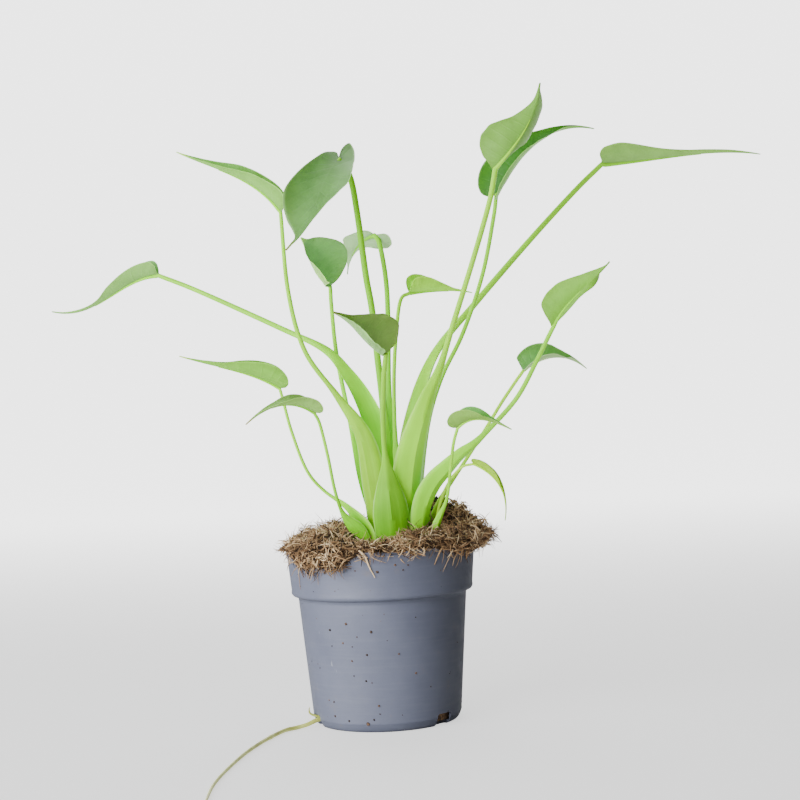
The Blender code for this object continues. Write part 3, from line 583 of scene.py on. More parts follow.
def stalk_mesh(name, leaf):
    """The sheath, the stalk and its run-out as the blade's raised midrib, in one skin."""
    wide, clasp = leaf["sheath"]
    thick, thin = leaf["radius"]
    base, _, up = midrib(leaf, 0.0)
    path = curve_through(leaf["stalk"][:-1] + [base - up * 0.0007], stalk_stations)
    ribs = []
    for k in range(1, rib_stations + 1):
        point, _, up = midrib(leaf, rib_reach * k / rib_stations)
        radius = between(thin * 0.92, rib_end, (k / rib_stations) ** 0.6)
        ribs.append((point - up * (blade_thickness * 0.6 + radius * 0.80), radius))
    centres = path + [p for p, _ in ribs]
    back = math.radians(leaf["back"])
    outward = Vector((math.cos(back), math.sin(back), 0.0))
    points, margins, lengths = [], [], []
    for i, (centre, way) in enumerate(zip(centres, tangents(centres))):
        run = min(1.0, i / (stalk_stations - 1))
        along = run / clasp
        # 0 where the sheath is an open half round, 1 from where it has closed into the round stalk
        closing = smooth(0.55, 1.0, along)
        radius = ribs[i - stalk_stations][1] if i >= stalk_stations else between(thick, thin, run)
        if closing < 1.0:
            if i == 0:
                way = Vector((0, 0, 1))
            out = (outward - way * outward.dot(way)).normalized()
        else:
            out = (out - way * out.dot(way)).normalized()
        side = way.cross(out)
        half = between(wide, radius, smooth(0.34, 0.99, along)) * between(0.84, 1.0, smooth(0.0, 0.25, along))
        half = max(half, radius)
        deep = between(half * sheath_depth + radius * 0.3, radius, closing)
        hollow = between(deep - sheath_thickness, -radius, closing)
        for k in range(stalk_sides):
            turn = 2 * math.pi * k / stalk_sides
            rise = deep * math.sin(turn) if k <= stalk_sides // 2 else -hollow * math.sin(turn)
            if 0.0 < turn < math.pi:
                rib = math.exp(-((turn - math.pi / 2) * half / radius / 0.95) ** 2)
                rise += radius * 0.75 * rib * (1.0 - closing) * smooth(0.0, 0.35, along)
            points.append(centre + side * half * math.cos(turn) + out * rise)
            margins.append(abs(math.cos(turn)) ** 12 * (1.0 - closing))
            lengths.append(run)
    sections = len(centres)
    made = piece_of(name, points, tube_faces(sections, stalk_sides))
    mesh = made.data
    give_values(mesh, "margin", margins)
    give_values(mesh, "height", lengths)
    uvs = mesh.uv_layers.new(name="grain")
    for polygon in mesh.polygons:
        for corner in polygon.loop_indices:
            vert = mesh.loops[corner].vertex_index
            ring, k = divmod(vert, stalk_sides)
            last = k == 0 and any(mesh.loops[c].vertex_index % stalk_sides == stalk_sides - 1
                                  for c in polygon.loop_indices)
            uvs.data[corner].uv = ((k + (stalk_sides if last else 0)) / stalk_sides, ring / (sections - 1))
    return made


def blade_mesh(name, leaf, seed):
    """Both faces of a blade, upper faces first, joined round the edge."""
    outline = [[edge_point(leaf, half, row) for row in range(len(edge_shape))] for half in (0, 1)]
    reaches = [[along for along, _ in points] for points in outline]
    widths = [[across for _, across in points] for points in outline]
    tail = leaf.get("tail", 0.55)
    curl = math.radians(cup)
    top, under, places = [], [], []
    for i in range(blade_rows):
        at = (len(edge_shape) - 1) * i / (blade_rows - 1)
        start = knot_value(vein_starts, at)
        for k in range(-blade_strips, blade_strips + 1):
            side = -1 if k < 0 else 1
            half = 0 if side < 0 else 1
            out = abs(k) / blade_strips
            along = between(start, knot_value(reaches[half], at), out ** 1.2)
            across = knot_value(widths[half], at) * out
            point, way, up = midrib(leaf, along)
            sideways = way.cross(up) * side
            fold = math.radians(leaf["fold"][half])
            steep = max(fold, math.radians(tail_fold))
            fold = between(fold, steep, smooth(tail, max(0.90, tail + 0.15), along))
            lean = fold - curl * 0.5 + curl * across
            width = leaf["half_width"][half] * across
            point = point + (sideways * math.cos(lean) + up * math.sin(lean)) * width
            turn = fold - curl * 0.5 + 2 * curl * across
            normal = up * math.cos(turn) - sideways * math.sin(turn)
            wave = noise.noise(Vector((along * 4.5, across * side * 1.4, seed))) * ripple * out
            wave += math.sin(at * 5.7 + side) * 0.00010 * out
            point = point + normal * wave * min(1.0, across * 2.0)
            top.append(point)
            under.append(point - normal * blade_thickness * (1.0 - 0.62 * out))
            places.append((0.5 + 0.5 * side * out, i / (blade_rows - 1)))
    columns = 2 * blade_strips + 1
    count = len(top)
    faces = []
    for i in range(blade_rows - 1):
        for k in range(columns - 1):
            a = i * columns + k
            faces.append((a, a + 1, a + 1 + columns, a + columns))
    upper = len(faces)
    faces += [tuple(count + v for v in reversed(face)) for face in faces]
    rim = list(range(columns))
    rim += [i * columns + columns - 1 for i in range(1, blade_rows)]
    rim += [(blade_rows - 1) * columns + k for k in range(columns - 2, -1, -1)]
    rim += [i * columns for i in range(blade_rows - 2, 0, -1)]
    for a, b in zip(rim, rim[1:] + rim[:1]):
        faces.append((a, count + a, count + b, b))
    made = piece_of(name, top + under, faces)
    mesh = made.data
    uvs = mesh.uv_layers.new(name="veins")
    for polygon in mesh.polygons:
        beneath = polygon.index >= upper
        polygon.material_index = 1 if beneath else 0
        for corner in polygon.loop_indices:
            u, v = places[mesh.loops[corner].vertex_index % count]
            uvs.data[corner].uv = (under_start + face_width * u if beneath else face_width * u, v)
    return made


def outward_faces(obj):
    """Turns a closed mesh's faces outwards."""
    shape = bmesh.new()
    shape.from_mesh(obj.data)
    bmesh.ops.recalc_face_normals(shape, faces=shape.faces)
    shape.to_mesh(obj.data)
    shape.free()


def rounded(obj, degrees):
    """Shades a closed mesh smooth, apart from the edges that are sharper than the angle."""
    outward_faces(obj)
    only(obj)
    bpy.ops.object.shade_smooth_by_angle(angle=math.radians(degrees))


def uv_map(tree, name):
    """The coordinates of a UV map."""
    return node(tree, "ShaderNodeUVMap", uv_map=name).outputs["UV"]


def value_of(tree, name):
    """The value of that name that a mesh's points keep."""
    return node(tree, "ShaderNodeAttribute", attribute_name=name).outputs["Fac"]


def blade_finish(name, colour, deep, vein, tip, offset, vein_share, rib_share, edge, roughness, gloss):
    """One face of a blade. offset is where that face's half of the UV map starts."""
    def vein_lines(tree):
        """How far a point is from the midrib, how far along the blade, and how much of a vein it is."""
        spread = axes(tree, uv_map(tree, "veins"))
        v = spread["Y"]
        across = sums(tree, "DIVIDE", sums(tree, "SUBTRACT", spread["X"], offset), face_width / 2)
        across = sums(tree, "ABSOLUTE", sums(tree, "SUBTRACT", across, 1.0), 0.0)
        lines = sums(tree, "PINGPONG", sums(tree, "MULTIPLY", v, vein_pairs), 0.5)
        lines = window(tree, lines, 0.0, 0.11, 1.0, 0.0)
        lines = sums(tree, "MULTIPLY", lines, window(tree, across, 0.75, 1.0, 1.0, 0.0))
        return across, v, lines

    def paint(tree):
        across, v, lines = vein_lines(tree)
        base = mixed(tree, window(tree, grain(tree, 95.0, 4.0, 0.6), 0.35, 0.68), colour, deep)
        base = mixed(tree, window(tree, grain(tree, 900.0, 3.0, 0.6), 0.40, 0.75, 0.0, 0.22), base, vein)
        base = mixed(tree, sums(tree, "MULTIPLY", lines, vein_share), base, vein)
        # Painted shade: each face darkens towards the blade's base and towards its edges.
        shadow = [c * 0.72 for c in deep]
        base = mixed(tree, window(tree, v, 0.02, 0.42, 0.55, 0.0), base, shadow)
        base = mixed(tree, window(tree, across, 0.50, 0.98, 0.0, 0.40), base, shadow)
        base = mixed(tree, window(tree, across, 0.0, 0.055, rib_share, 0.0), base, vein)
        base = mixed(tree, window(tree, across, 0.93, 0.99, 0.0, 0.65), base, edge)
        return mixed(tree, window(tree, v, 0.90, 0.985), base, tip)

    def veined(tree):
        """The veins are sunk in the upper face and stand out on the lower one."""
        _, _, lines = vein_lines(tree)
        return sums(tree, "MULTIPLY", lines, -1.0 if offset == 0.0 else 1.0)

    return finish(name, paint, roughness, [(veined, 0.25, 0.00035), ((700.0, 3.0), 0.12, 0.0002)], gloss)


def stalk_finish(name, foot, top):
    """Living stalk: streaked along its length, paler where the sheath's margin thins out."""
    def paint(tree):
        base = mixed(tree, window(tree, value_of(tree, "height"), 0.05, 0.75), foot, top)
        streak = pattern(tree, uv_map(tree, "grain"), 1.0, 3.0, 0.6, stretch=(30.0, 4.0, 1.0))
        light = [min(1.0, 1.25 * c) for c in top]
        base = mixed(tree, window(tree, streak, 0.42, 0.80, 0.0, 0.30), base, light)
        dark = [c * 0.62 for c in foot]
        base = mixed(tree, window(tree, streak, 0.45, 0.20, 0.0, 0.30), base, dark)
        base = mixed(tree, window(tree, grain(tree, 42.0, 2.0), 0.35, 0.70, 0.0, 0.30), base, dark)
        pale = [min(0.92, 1.10 * c + 0.09) for c in top]
        return mixed(tree, window(tree, value_of(tree, "margin"), 0.25, 0.95, 0.0, 0.75), base, pale)

    def ridges(tree):
        return pattern(tree, uv_map(tree, "grain"), 1.0, 2.0, stretch=(44.0, 3.0, 1.0))

    return finish(name, paint, 0.42, [(ridges, 0.22, 0.0004)], 0.12)


def translucent(made, weight, radius, scale):
    """Lets light into a finish, as into living tissue."""
    shader = made.node_tree.nodes["Principled BSDF"]
    shader.inputs["Subsurface Weight"].default_value = weight
    shader.inputs["Subsurface Radius"].default_value = radius
    shader.inputs["Subsurface Scale"].default_value = scale
    return made


# Where each leaf stands in the soil, and half the width of its sheath.
leaf_feet = []


def grow(name, leaf, upper, under, foot, top, seed, tip=None, dark_edge=False):
    """Makes one leaf: its stalk piece and its blade piece, with their finishes. upper and under are the
    colours of the blade's two faces, foot and top those of the stalk's two ends."""
    made = stalk_mesh("leaf_stalk_" + name, leaf)
    rounded(made, 55.0)
    green = stalk_finish("stalk_" + name, foot, top)
    made.data.materials.append(translucent(green, 0.20, (0.6, 1.0, 0.2), 0.003))
    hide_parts("stalk_" + name)
    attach(made, "root")
    sheet = blade_mesh("leaf_blade_" + name, leaf, seed)
    rounded(sheet, 55.0)
    tip = tip or [c * 0.9 for c in under]
    deep = [c * 0.80 for c in upper]
    pale = [min(1.0, c * 1.35) for c in upper]
    margin = [c * 0.55 for c in upper] if dark_edge else [min(1.0, c * 1.6 + 0.10) for c in upper]
    upper_face = blade_finish(
        "blade_upper_" + name, upper, deep, pale, tip, 0.0, 0.14, 0.20, margin, 0.44, 0.15)
    deep = [c * 0.86 for c in under]
    pale = [min(1.0, c * 1.28 + 0.01) for c in under]
    under_face = blade_finish(
        "blade_under_" + name, under, deep, pale, tip, under_start, 0.06, 0.45, pale, 0.48, 0.14)
    for face in (upper_face, under_face):
        sheet.data.materials.append(translucent(face, 0.15, (0.6, 1.0, 0.25), 0.002))
    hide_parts("blade_" + name)
    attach(sheet, "root")
    foot_x, foot_y, _ = leaf["stalk"][0]
    leaf_feet.append((foot_x, foot_y, leaf["sheath"][0]))


# A leaf is given by its stalk's path from the soil up, the compass angle that its sheath's back faces, the
# sheath's half width and how far up the stalk it clasps, the stalk's radius at its foot and its top, the
# blade's tip, the way that the upper side faces, the half width and the fold of its two halves and the bow
# of its midrib. Where the blade isn't of the usual shape, edge is the outline of each half, as (along, across).
# The colours after each leaf's table are set leaf by leaf. Besides the tissue's own greens they hold painted
# light and shade: paler where a leaf or a stalk's foot is lit, darker where a leaf lies in shade.
grow("far_left", dict(
    stalk=[(-0.0010, 0.0025, 0.0934), (0.000, 0.004, 0.105), (0.002, 0.008, 0.138),
           (0.000, 0.014, 0.162), (-0.006, 0.020, 0.179), (-0.015, 0.026, 0.194),
           (-0.027, 0.032, 0.208), (-0.053, 0.040, 0.222), (-0.100, 0.052, 0.246),
           (-0.125, 0.060, 0.258)],
    back=112, sheath=(0.0074, 0.62), radius=(0.00205, 0.0013),
    tip=(-0.193, 0.080, 0.240), face=(-0.20, -0.15, 1.0), half_width=(0.0135, 0.0135), fold=(48, 48),
    arch=(-0.0005, -0.0055),
    edge=([(0.00, 0.10), (0.00, 0.35), (0.005, 0.60), (0.045, 0.77), (0.165, 0.74),
           (0.30, 0.64), (0.43, 0.51), (0.56, 0.26), (0.68, 0.16), (0.82, 0.12)],
          [(0.00, 0.13), (0.01, 0.33), (0.03, 0.62), (0.065, 0.76), (0.15, 0.75),
           (0.27, 0.70), (0.41, 0.54), (0.55, 0.28), (0.68, 0.15), (0.82, 0.11)])),
     (0.109, 0.291, 0.066), (0.213, 0.438, 0.098), foot=(0.240, 0.700, 0.004), top=(0.291, 0.702, 0.024),
     seed=1.3)
grow("upper_left", dict(
    stalk=[(0.000, -0.0105, 0.0934), (0.001, -0.012, 0.106), (-0.001, -0.013, 0.131),
           (-0.006, -0.012, 0.158), (-0.020, -0.008, 0.181), (-0.037, -0.002, 0.207),
           (-0.045, 0.004, 0.241), (-0.047, 0.010, 0.286)],
    back=238, sheath=(0.0080, 0.52), radius=(0.0017, 0.0011),
    tip=(-0.106, 0.022, 0.324), face=(0.30, -0.25, 1.0), half_width=(0.0125, 0.0102), fold=(48, 44),
    arch=(0.0050, 0.0020),
    edge=([(0.00, 0.20), (0.02, 0.52), (0.05, 0.80), (0.11, 0.89), (0.22, 0.77),
           (0.35, 0.66), (0.46, 0.48), (0.59, 0.31), (0.71, 0.18), (0.86, 0.09)],
          [(0.01, 0.20), (0.04, 0.50), (0.08, 0.79), (0.16, 0.89), (0.29, 0.87),
           (0.41, 0.82), (0.51, 0.73), (0.63, 0.50), (0.75, 0.29), (0.88, 0.15)])),
     (0.130, 0.361, 0.057), (0.200, 0.441, 0.075), tip=(0.412, 0.702, 0.085), foot=(0.236, 0.482, 0.006),
     top=(0.299, 0.702, 0.020), seed=2.3)
grow("tall_front", dict(
    stalk=[(0.0055, -0.001, 0.0934), (0.006, -0.001, 0.110), (0.005, -0.002, 0.166),
           (0.002, -0.002, 0.222), (-0.001, -0.003, 0.247), (-0.004, -0.005, 0.280),
           (-0.007, -0.008, 0.301), (-0.0125, -0.0135, 0.3105)],
    back=330, sheath=(0.0046, 0.50), radius=(0.00205, 0.0017),
    tip=(-0.042, -0.045, 0.259), face=(-0.20, -0.90, 0.30), half_width=(0.0178, 0.0162), fold=(10, 8),
    arch=(0.0050, 0.0030), sway=(-0.0016, -0.0036), tail=0.84,
    edge=([(-0.10, -0.16), (-0.21, -0.24), (-0.28, -0.16), (-0.14, 0.27), (0.27, 0.92),
           (0.42, 0.70), (0.53, 0.36), (0.68, 0.16), (0.84, 0.08), (0.94, 0.06)],
          [(-0.09, 0.30), (-0.04, 0.53), (0.13, 0.71), (0.34, 0.96), (0.52, 1.10),
           (0.65, 0.96), (0.77, 0.62), (0.84, 0.25), (0.88, 0.06), (0.94, 0.04)])),
     (0.114, 0.259, 0.068), (0.244, 0.525, 0.097), tip=(0.244, 0.257, 0.051), foot=(0.223, 0.628, 0.010),
     top=(0.171, 0.477, 0.006), seed=3.3)
grow("back_cup", dict(
    stalk=[(0.000, 0.0105, 0.0934), (-0.001, 0.012, 0.108), (-0.009, 0.019, 0.138),
           (-0.016, 0.029, 0.175), (-0.021, 0.042, 0.206), (-0.023, 0.054, 0.232),
           (-0.0230, 0.060, 0.2460)],
    back=115, sheath=(0.0040, 0.50), radius=(0.00145, 0.0012),
    tip=(-0.038, 0.032, 0.273), face=(0.52, -0.75, 0.30), half_width=(0.0185, 0.0185), fold=(36, 28),
    arch=(-0.0027, -0.0015),
    edge=([(0.10, 0.25), (0.37, 1.00), (0.43, 1.00), (0.55, 0.95), (0.67, 0.83),
           (0.75, 0.64), (0.80, 0.43), (0.84, 0.23), (0.88, 0.10), (0.94, 0.05)],
          [(0.01, 0.05), (-0.01, 0.18), (-0.02, 0.39), (0.01, 0.67), (0.10, 0.93),
           (0.27, 1.12), (0.45, 1.15), (0.59, 1.05), (0.74, 0.74), (0.88, 0.28)]), tail=0.84),
     (0.202, 0.464, 0.141), (0.356, 0.710, 0.137), foot=(0.259, 0.664, 0.015), top=(0.291, 0.702, 0.024),
     seed=4.3, dark_edge=True)
grow("back_drooping", dict(
    stalk=[(0.0065, 0.0105, 0.0934), (0.0065, 0.012, 0.108), (0.007, 0.022, 0.154),
           (0.009, 0.036, 0.200), (0.010, 0.054, 0.242), (0.007, 0.068, 0.270),
           (0.004, 0.072, 0.277)],
    back=88, sheath=(0.0048, 0.55), radius=(0.0017, 0.00145),
    tip=(-0.014, 0.100, 0.256), face=(0.00, 0.55, 0.83), half_width=(0.0112, 0.0150), fold=(20, -33),
    arch=(0.0030, 0.0010), sway=(-0.0030, -0.0030),
    edge=([(0.01, 0.22), (0.06, 0.38), (0.17, 0.53), (0.32, 0.71), (0.46, 0.89),
           (0.52, 0.73), (0.59, 0.48), (0.68, 0.30), (0.79, 0.16), (0.88, 0.05)],
          [(-0.07, 0.06), (-0.22, 0.06), (-0.31, 0.22), (-0.26, 0.55), (-0.08, 0.76),
           (0.09, 0.70), (0.24, 0.38), (0.41, 0.18), (0.56, 0.08), (0.75, 0.03)])),
     (0.110, 0.330, 0.090), (0.300, 0.470, 0.230), foot=(0.223, 0.628, 0.010), top=(0.223, 0.606, 0.016),
     seed=5.3)
grow("centre_right", dict(
    stalk=[(0.0105, 0.004, 0.0934), (0.011, 0.005, 0.108), (0.011, 0.012, 0.154),
           (0.012, 0.020, 0.191), (0.015, 0.028, 0.220), (0.018, 0.033, 0.235),
           (0.023, 0.036, 0.239)],
    back=60, sheath=(0.0036, 0.50), radius=(0.0012, 0.0011),
    tip=(0.060, 0.052, 0.238), face=(0.10, -0.20, 1.0), half_width=(0.0108, 0.0108), fold=(48, 48),
    arch=(0.0010, 0.0010), lobe=0.3),
     (0.330, 0.800, 0.030), (0.370, 0.800, 0.040), foot=(0.299, 0.702, 0.018), top=(0.324, 0.725, 0.021),
     seed=6.3)
grow("front_cup", dict(
    stalk=[(0.008, -0.0165, 0.0934), (0.0075, -0.0175, 0.106), (0.006, -0.023, 0.134),
           (0.005, -0.032, 0.161), (0.0066, -0.044, 0.188), (0.0088, -0.050, 0.2015)],
    back=272, sheath=(0.0100, 0.53), radius=(0.00155, 0.0013),
    tip=(-0.017, -0.080, 0.223), face=(0.39, -0.75, 0.46), half_width=(0.0175, 0.0175), fold=(36, 42),
    arch=(-0.0012, 0.0008),
    edge=([(0.01, 0.03), (0.32, 0.87), (0.42, 0.88), (0.53, 0.89), (0.62, 0.81),
           (0.69, 0.66), (0.75, 0.51), (0.81, 0.37), (0.86, 0.25), (0.94, 0.13)],
          [(-0.01, 0.06), (-0.04, 0.25), (-0.05, 0.51), (0.05, 0.91), (0.26, 1.03),
           (0.43, 0.95), (0.55, 0.72), (0.69, 0.43), (0.80, 0.23), (0.91, 0.11)])),
     (0.183, 0.308, 0.059), (0.240, 0.480, 0.130), tip=(0.150, 0.179, 0.028), foot=(0.122, 0.385, 0.006),
     top=(0.259, 0.592, 0.018), seed=7.3, dark_edge=True)
grow("upper_right", dict(
    stalk=[(0.0125, -0.0075, 0.0934), (0.0135, -0.009, 0.108), (0.018, -0.015, 0.144),
           (0.028, -0.020, 0.174), (0.037, -0.021, 0.193), (0.046, -0.020, 0.218),
           (0.059, -0.018, 0.254), (0.069, -0.015, 0.284), (0.073, -0.012, 0.302)],
    back=300, sheath=(0.0092, 0.56), radius=(0.0017, 0.00145),
    tip=(0.099, -0.020, 0.346), face=(-0.30, 0.90, 0.30), half_width=(0.0172, 0.0172), fold=(40, 30),
    arch=(-0.0020, 0.0010), sway=(-0.0030, -0.0045), tail=0.84,
    edge=([(0.00, 0.10), (0.04, 0.12), (0.11, 0.14), (0.22, 0.20), (0.38, 0.46),
           (0.50, 0.88), (0.60, 1.00), (0.71, 0.84), (0.82, 0.40), (0.90, 0.18)],
          [(-0.03, 0.05), (-0.01, 0.28), (0.00, 0.59), (0.05, 0.90), (0.17, 1.12),
           (0.33, 1.12), (0.45, 0.87), (0.58, 0.54), (0.70, 0.32), (0.83, 0.12)])),
     (0.150, 0.404, 0.053), (0.146, 0.318, 0.044), foot=(0.330, 0.800, 0.012), top=(0.316, 0.664, 0.028),
     seed=8.3)
grow("upper_right_rear", dict(
    stalk=[(0.0170, 0.000, 0.0934), (0.0185, 0.001, 0.108), (0.026, 0.004, 0.154),
           (0.038, 0.008, 0.187), (0.052, 0.014, 0.213), (0.065, 0.022, 0.246),
           (0.073, 0.028, 0.278), (0.075, 0.030, 0.292)],
    back=5, sheath=(0.0052, 0.50), radius=(0.0013, 0.0012),
    tip=(0.136, 0.052, 0.331), face=(-0.45, -0.60, 0.66), half_width=(0.0150, 0.0150), fold=(30, 30),
    arch=(0.0120, 0.0110)),
     (0.039, 0.155, 0.016), (0.210, 0.474, 0.085), foot=(0.223, 0.628, 0.010), top=(0.259, 0.649, 0.019),
     seed=9.3)
grow("far_right", dict(
    stalk=[(0.0110, 0.0110, 0.0934), (0.0120, 0.0125, 0.108), (0.0195, 0.019, 0.160),
           (0.034, 0.030, 0.200), (0.061, 0.044, 0.231), (0.096, 0.058, 0.268),
           (0.125, 0.066, 0.297), (0.142, 0.070, 0.313)],
    back=40, sheath=(0.0076, 0.55), radius=(0.0024, 0.0015),
    tip=(0.242, 0.092, 0.317), face=(-0.05, -0.20, 1.0), half_width=(0.0120, 0.0120), fold=(52, 52),
    arch=(0.0012, 0.0024),
    edge=([(0.015, 0.24), (0.03, 0.50), (0.05, 0.78), (0.09, 0.92), (0.15, 0.99),
           (0.24, 0.86), (0.36, 0.61), (0.51, 0.34), (0.65, 0.24), (0.84, 0.12)],
          [(-0.01, 0.26), (-0.025, 0.56), (-0.01, 0.86), (0.035, 1.00), (0.108, 1.07),
           (0.20, 0.94), (0.32, 0.68), (0.49, 0.39), (0.64, 0.26), (0.835, 0.14)])),
     (0.130, 0.323, 0.053), (0.232, 0.462, 0.092), foot=(0.320, 0.725, 0.031), top=(0.259, 0.628, 0.018),
     seed=10.3)
grow("right", dict(
    stalk=[(0.0215, -0.013, 0.0934), (0.0215, -0.014, 0.106), (0.024, -0.015, 0.120),
           (0.030, -0.016, 0.131), (0.038, -0.018, 0.139), (0.046, -0.020, 0.146),
           (0.057, -0.022, 0.154), (0.077, -0.027, 0.174), (0.089, -0.030, 0.194),
           (0.096, -0.031, 0.207), (0.0985, -0.032, 0.2125)],
    back=310, sheath=(0.0066, 0.60), radius=(0.00155, 0.0012),
    tip=(0.129, -0.046, 0.245), face=(-0.44, 0.75, 0.40), half_width=(0.0110, 0.0122), fold=(-62, 45),
    arch=(0.0030, 0.0005),
    edge=([(0.03, 0.08), (0.06, 0.14), (0.12, 0.21), (0.21, 0.27), (0.35, 0.28),
           (0.47, 0.25), (0.58, 0.27), (0.68, 0.30), (0.79, 0.30), (0.92, 0.10)],
          [(0.00, 0.08), (0.03, 0.22), (0.08, 0.57), (0.14, 0.91), (0.24, 1.03),
           (0.36, 0.98), (0.51, 0.76), (0.68, 0.48), (0.84, 0.21), (0.94, 0.05)])),
     (0.072, 0.221, 0.011), (0.146, 0.354, 0.025), foot=(0.290, 0.760, 0.012), top=(0.259, 0.649, 0.022),
     seed=11.3)
grow("right_dark", dict(
    stalk=[(0.0265, -0.0045, 0.0934), (0.0275, -0.005, 0.107), (0.034, -0.004, 0.121),
           (0.044, -0.002, 0.134), (0.060, 0.002, 0.156), (0.071, 0.006, 0.172),
           (0.080, 0.009, 0.184), (0.0845, 0.010, 0.1905)],
    back=345, sheath=(0.0034, 0.42), radius=(0.0011, 0.00095),
    tip=(0.122, 0.024, 0.190), face=(0.05, -0.55, 1.0), half_width=(0.0100, 0.0100), fold=(28, 28),
    arch=(0.0074, 0.0056), full=0.80, lobe=-0.5),
     (0.110, 0.300, 0.065), (0.300, 0.480, 0.190), foot=(0.299, 0.592, 0.011), top=(0.398, 0.757, 0.026),
     seed=12.3)
grow("front_small", dict(
    stalk=[(0.029, -0.0165, 0.0934), (0.031, -0.018, 0.107), (0.0375, -0.024, 0.122),
           (0.040, -0.034, 0.138), (0.042, -0.042, 0.152), (0.044, -0.046, 0.161)],
    back=295, sheath=(0.0026, 0.42), radius=(0.00095, 0.00085),
    tip=(0.072, -0.062, 0.159), face=(0.00, -0.20, 1.0), half_width=(0.0085, 0.0085), fold=(40, 40),
    arch=(0.0050, 0.0030)),
     (0.098, 0.351, 0.048), (0.198, 0.385, 0.059), foot=(0.259, 0.664, 0.013), top=(0.320, 0.702, 0.025),
     seed=13.3)
grow("young_curled", dict(
    stalk=[(0.0305, -0.0095, 0.0934), (0.0315, -0.0105, 0.108), (0.035, -0.013, 0.122),
           (0.041, -0.017, 0.133), (0.047, -0.021, 0.139), (0.053, -0.024, 0.141)],
    back=330, sheath=(0.0020, 0.40), radius=(0.00085, 0.0007),
    tip=(0.068, -0.038, 0.110), face=(0.60, -0.20, 0.80), half_width=(0.0034, 0.0034), fold=(55, 55),
    arch=(0.0060, 0.0055)),
     (0.246, 0.458, 0.009), (0.276, 0.498, 0.011), foot=(0.364, 0.664, 0.018), top=(0.438, 0.757, 0.031),
     seed=14.3)
grow("left", dict(
    stalk=[(-0.0030, -0.0125, 0.0934), (-0.0052, -0.0135, 0.107), (-0.0158, -0.0140, 0.119),
           (-0.029, -0.014, 0.129), (-0.038, -0.017, 0.141), (-0.045, -0.019, 0.162),
           (-0.049, -0.020, 0.180), (-0.050, -0.020, 0.1865)],
    back=200, sheath=(0.0062, 0.42), radius=(0.00095, 0.00085),
    tip=(-0.103, -0.030, 0.206), face=(0.10, -0.12, 1.0), half_width=(0.0111, 0.0108), fold=(46, 45),
    arch=(0.0020, 0.0005)),
     (0.153, 0.402, 0.040), (0.195, 0.470, 0.047), tip=(0.462, 0.741, 0.046), foot=(0.259, 0.702, 0.013),
     top=(0.342, 0.757, 0.022), seed=15.3)
grow("left_low", dict(
    stalk=[(-0.0070, -0.0165, 0.0934), (-0.0108, -0.018, 0.106), (-0.0190, -0.024, 0.117),
           (-0.0225, -0.032, 0.130), (-0.025, -0.042, 0.149), (-0.028, -0.050, 0.166),
           (-0.030, -0.053, 0.1725)],
    back=240, sheath=(0.0052, 0.38), radius=(0.00095, 0.00085),
    tip=(-0.065, -0.072, 0.168), face=(0.00, -0.20, 1.0), half_width=(0.0084, 0.0084), fold=(28, 28),
    arch=(0.0065, 0.0050)),
     (0.217, 0.433, 0.088), (0.267, 0.498, 0.106), tip=(0.301, 0.257, 0.036), foot=(0.223, 0.702, 0.007),
     top=(0.299, 0.725, 0.020), seed=16.3)

# Soil: the plug of brown peat and coir fibre that fills the pot, heaped above the rim and hanging over it.
# This is its dense dark body, which the loose fibres lie on.
soil_steps = 168
soil_rings = 26
soil_floor = 0.0023
soil_rim = 0.0525
wall_rings = 9
rim_height = 0.0975
gap = 0.0003
heap_lowest = 0.1010
heap_rise = 0.0035
mounds = [(0.0370, 0.010, 0.0140, 0.0155), (-0.020, 0.018, 0.0020, 0.015), (-0.008, -0.046, -0.0022, 0.016),
          (-0.001, -0.024, -0.0092, 0.012), (-0.046, -0.004, -0.0022, 0.016)]


def soil_height(x, y):
    """Height of the heap: a low ring on the rim, a rise round the stalks and one at the right rear."""
    share = min(1.0, math.hypot(x, y) / (soil_rim + 0.0035))
    height = heap_lowest + heap_rise * math.cos(share * math.pi / 2)
    for at_x, at_y, rise, breadth in mounds:
        height += rise * math.exp(-((x - at_x) ** 2 + (y - at_y) ** 2) / breadth ** 2)
    return height


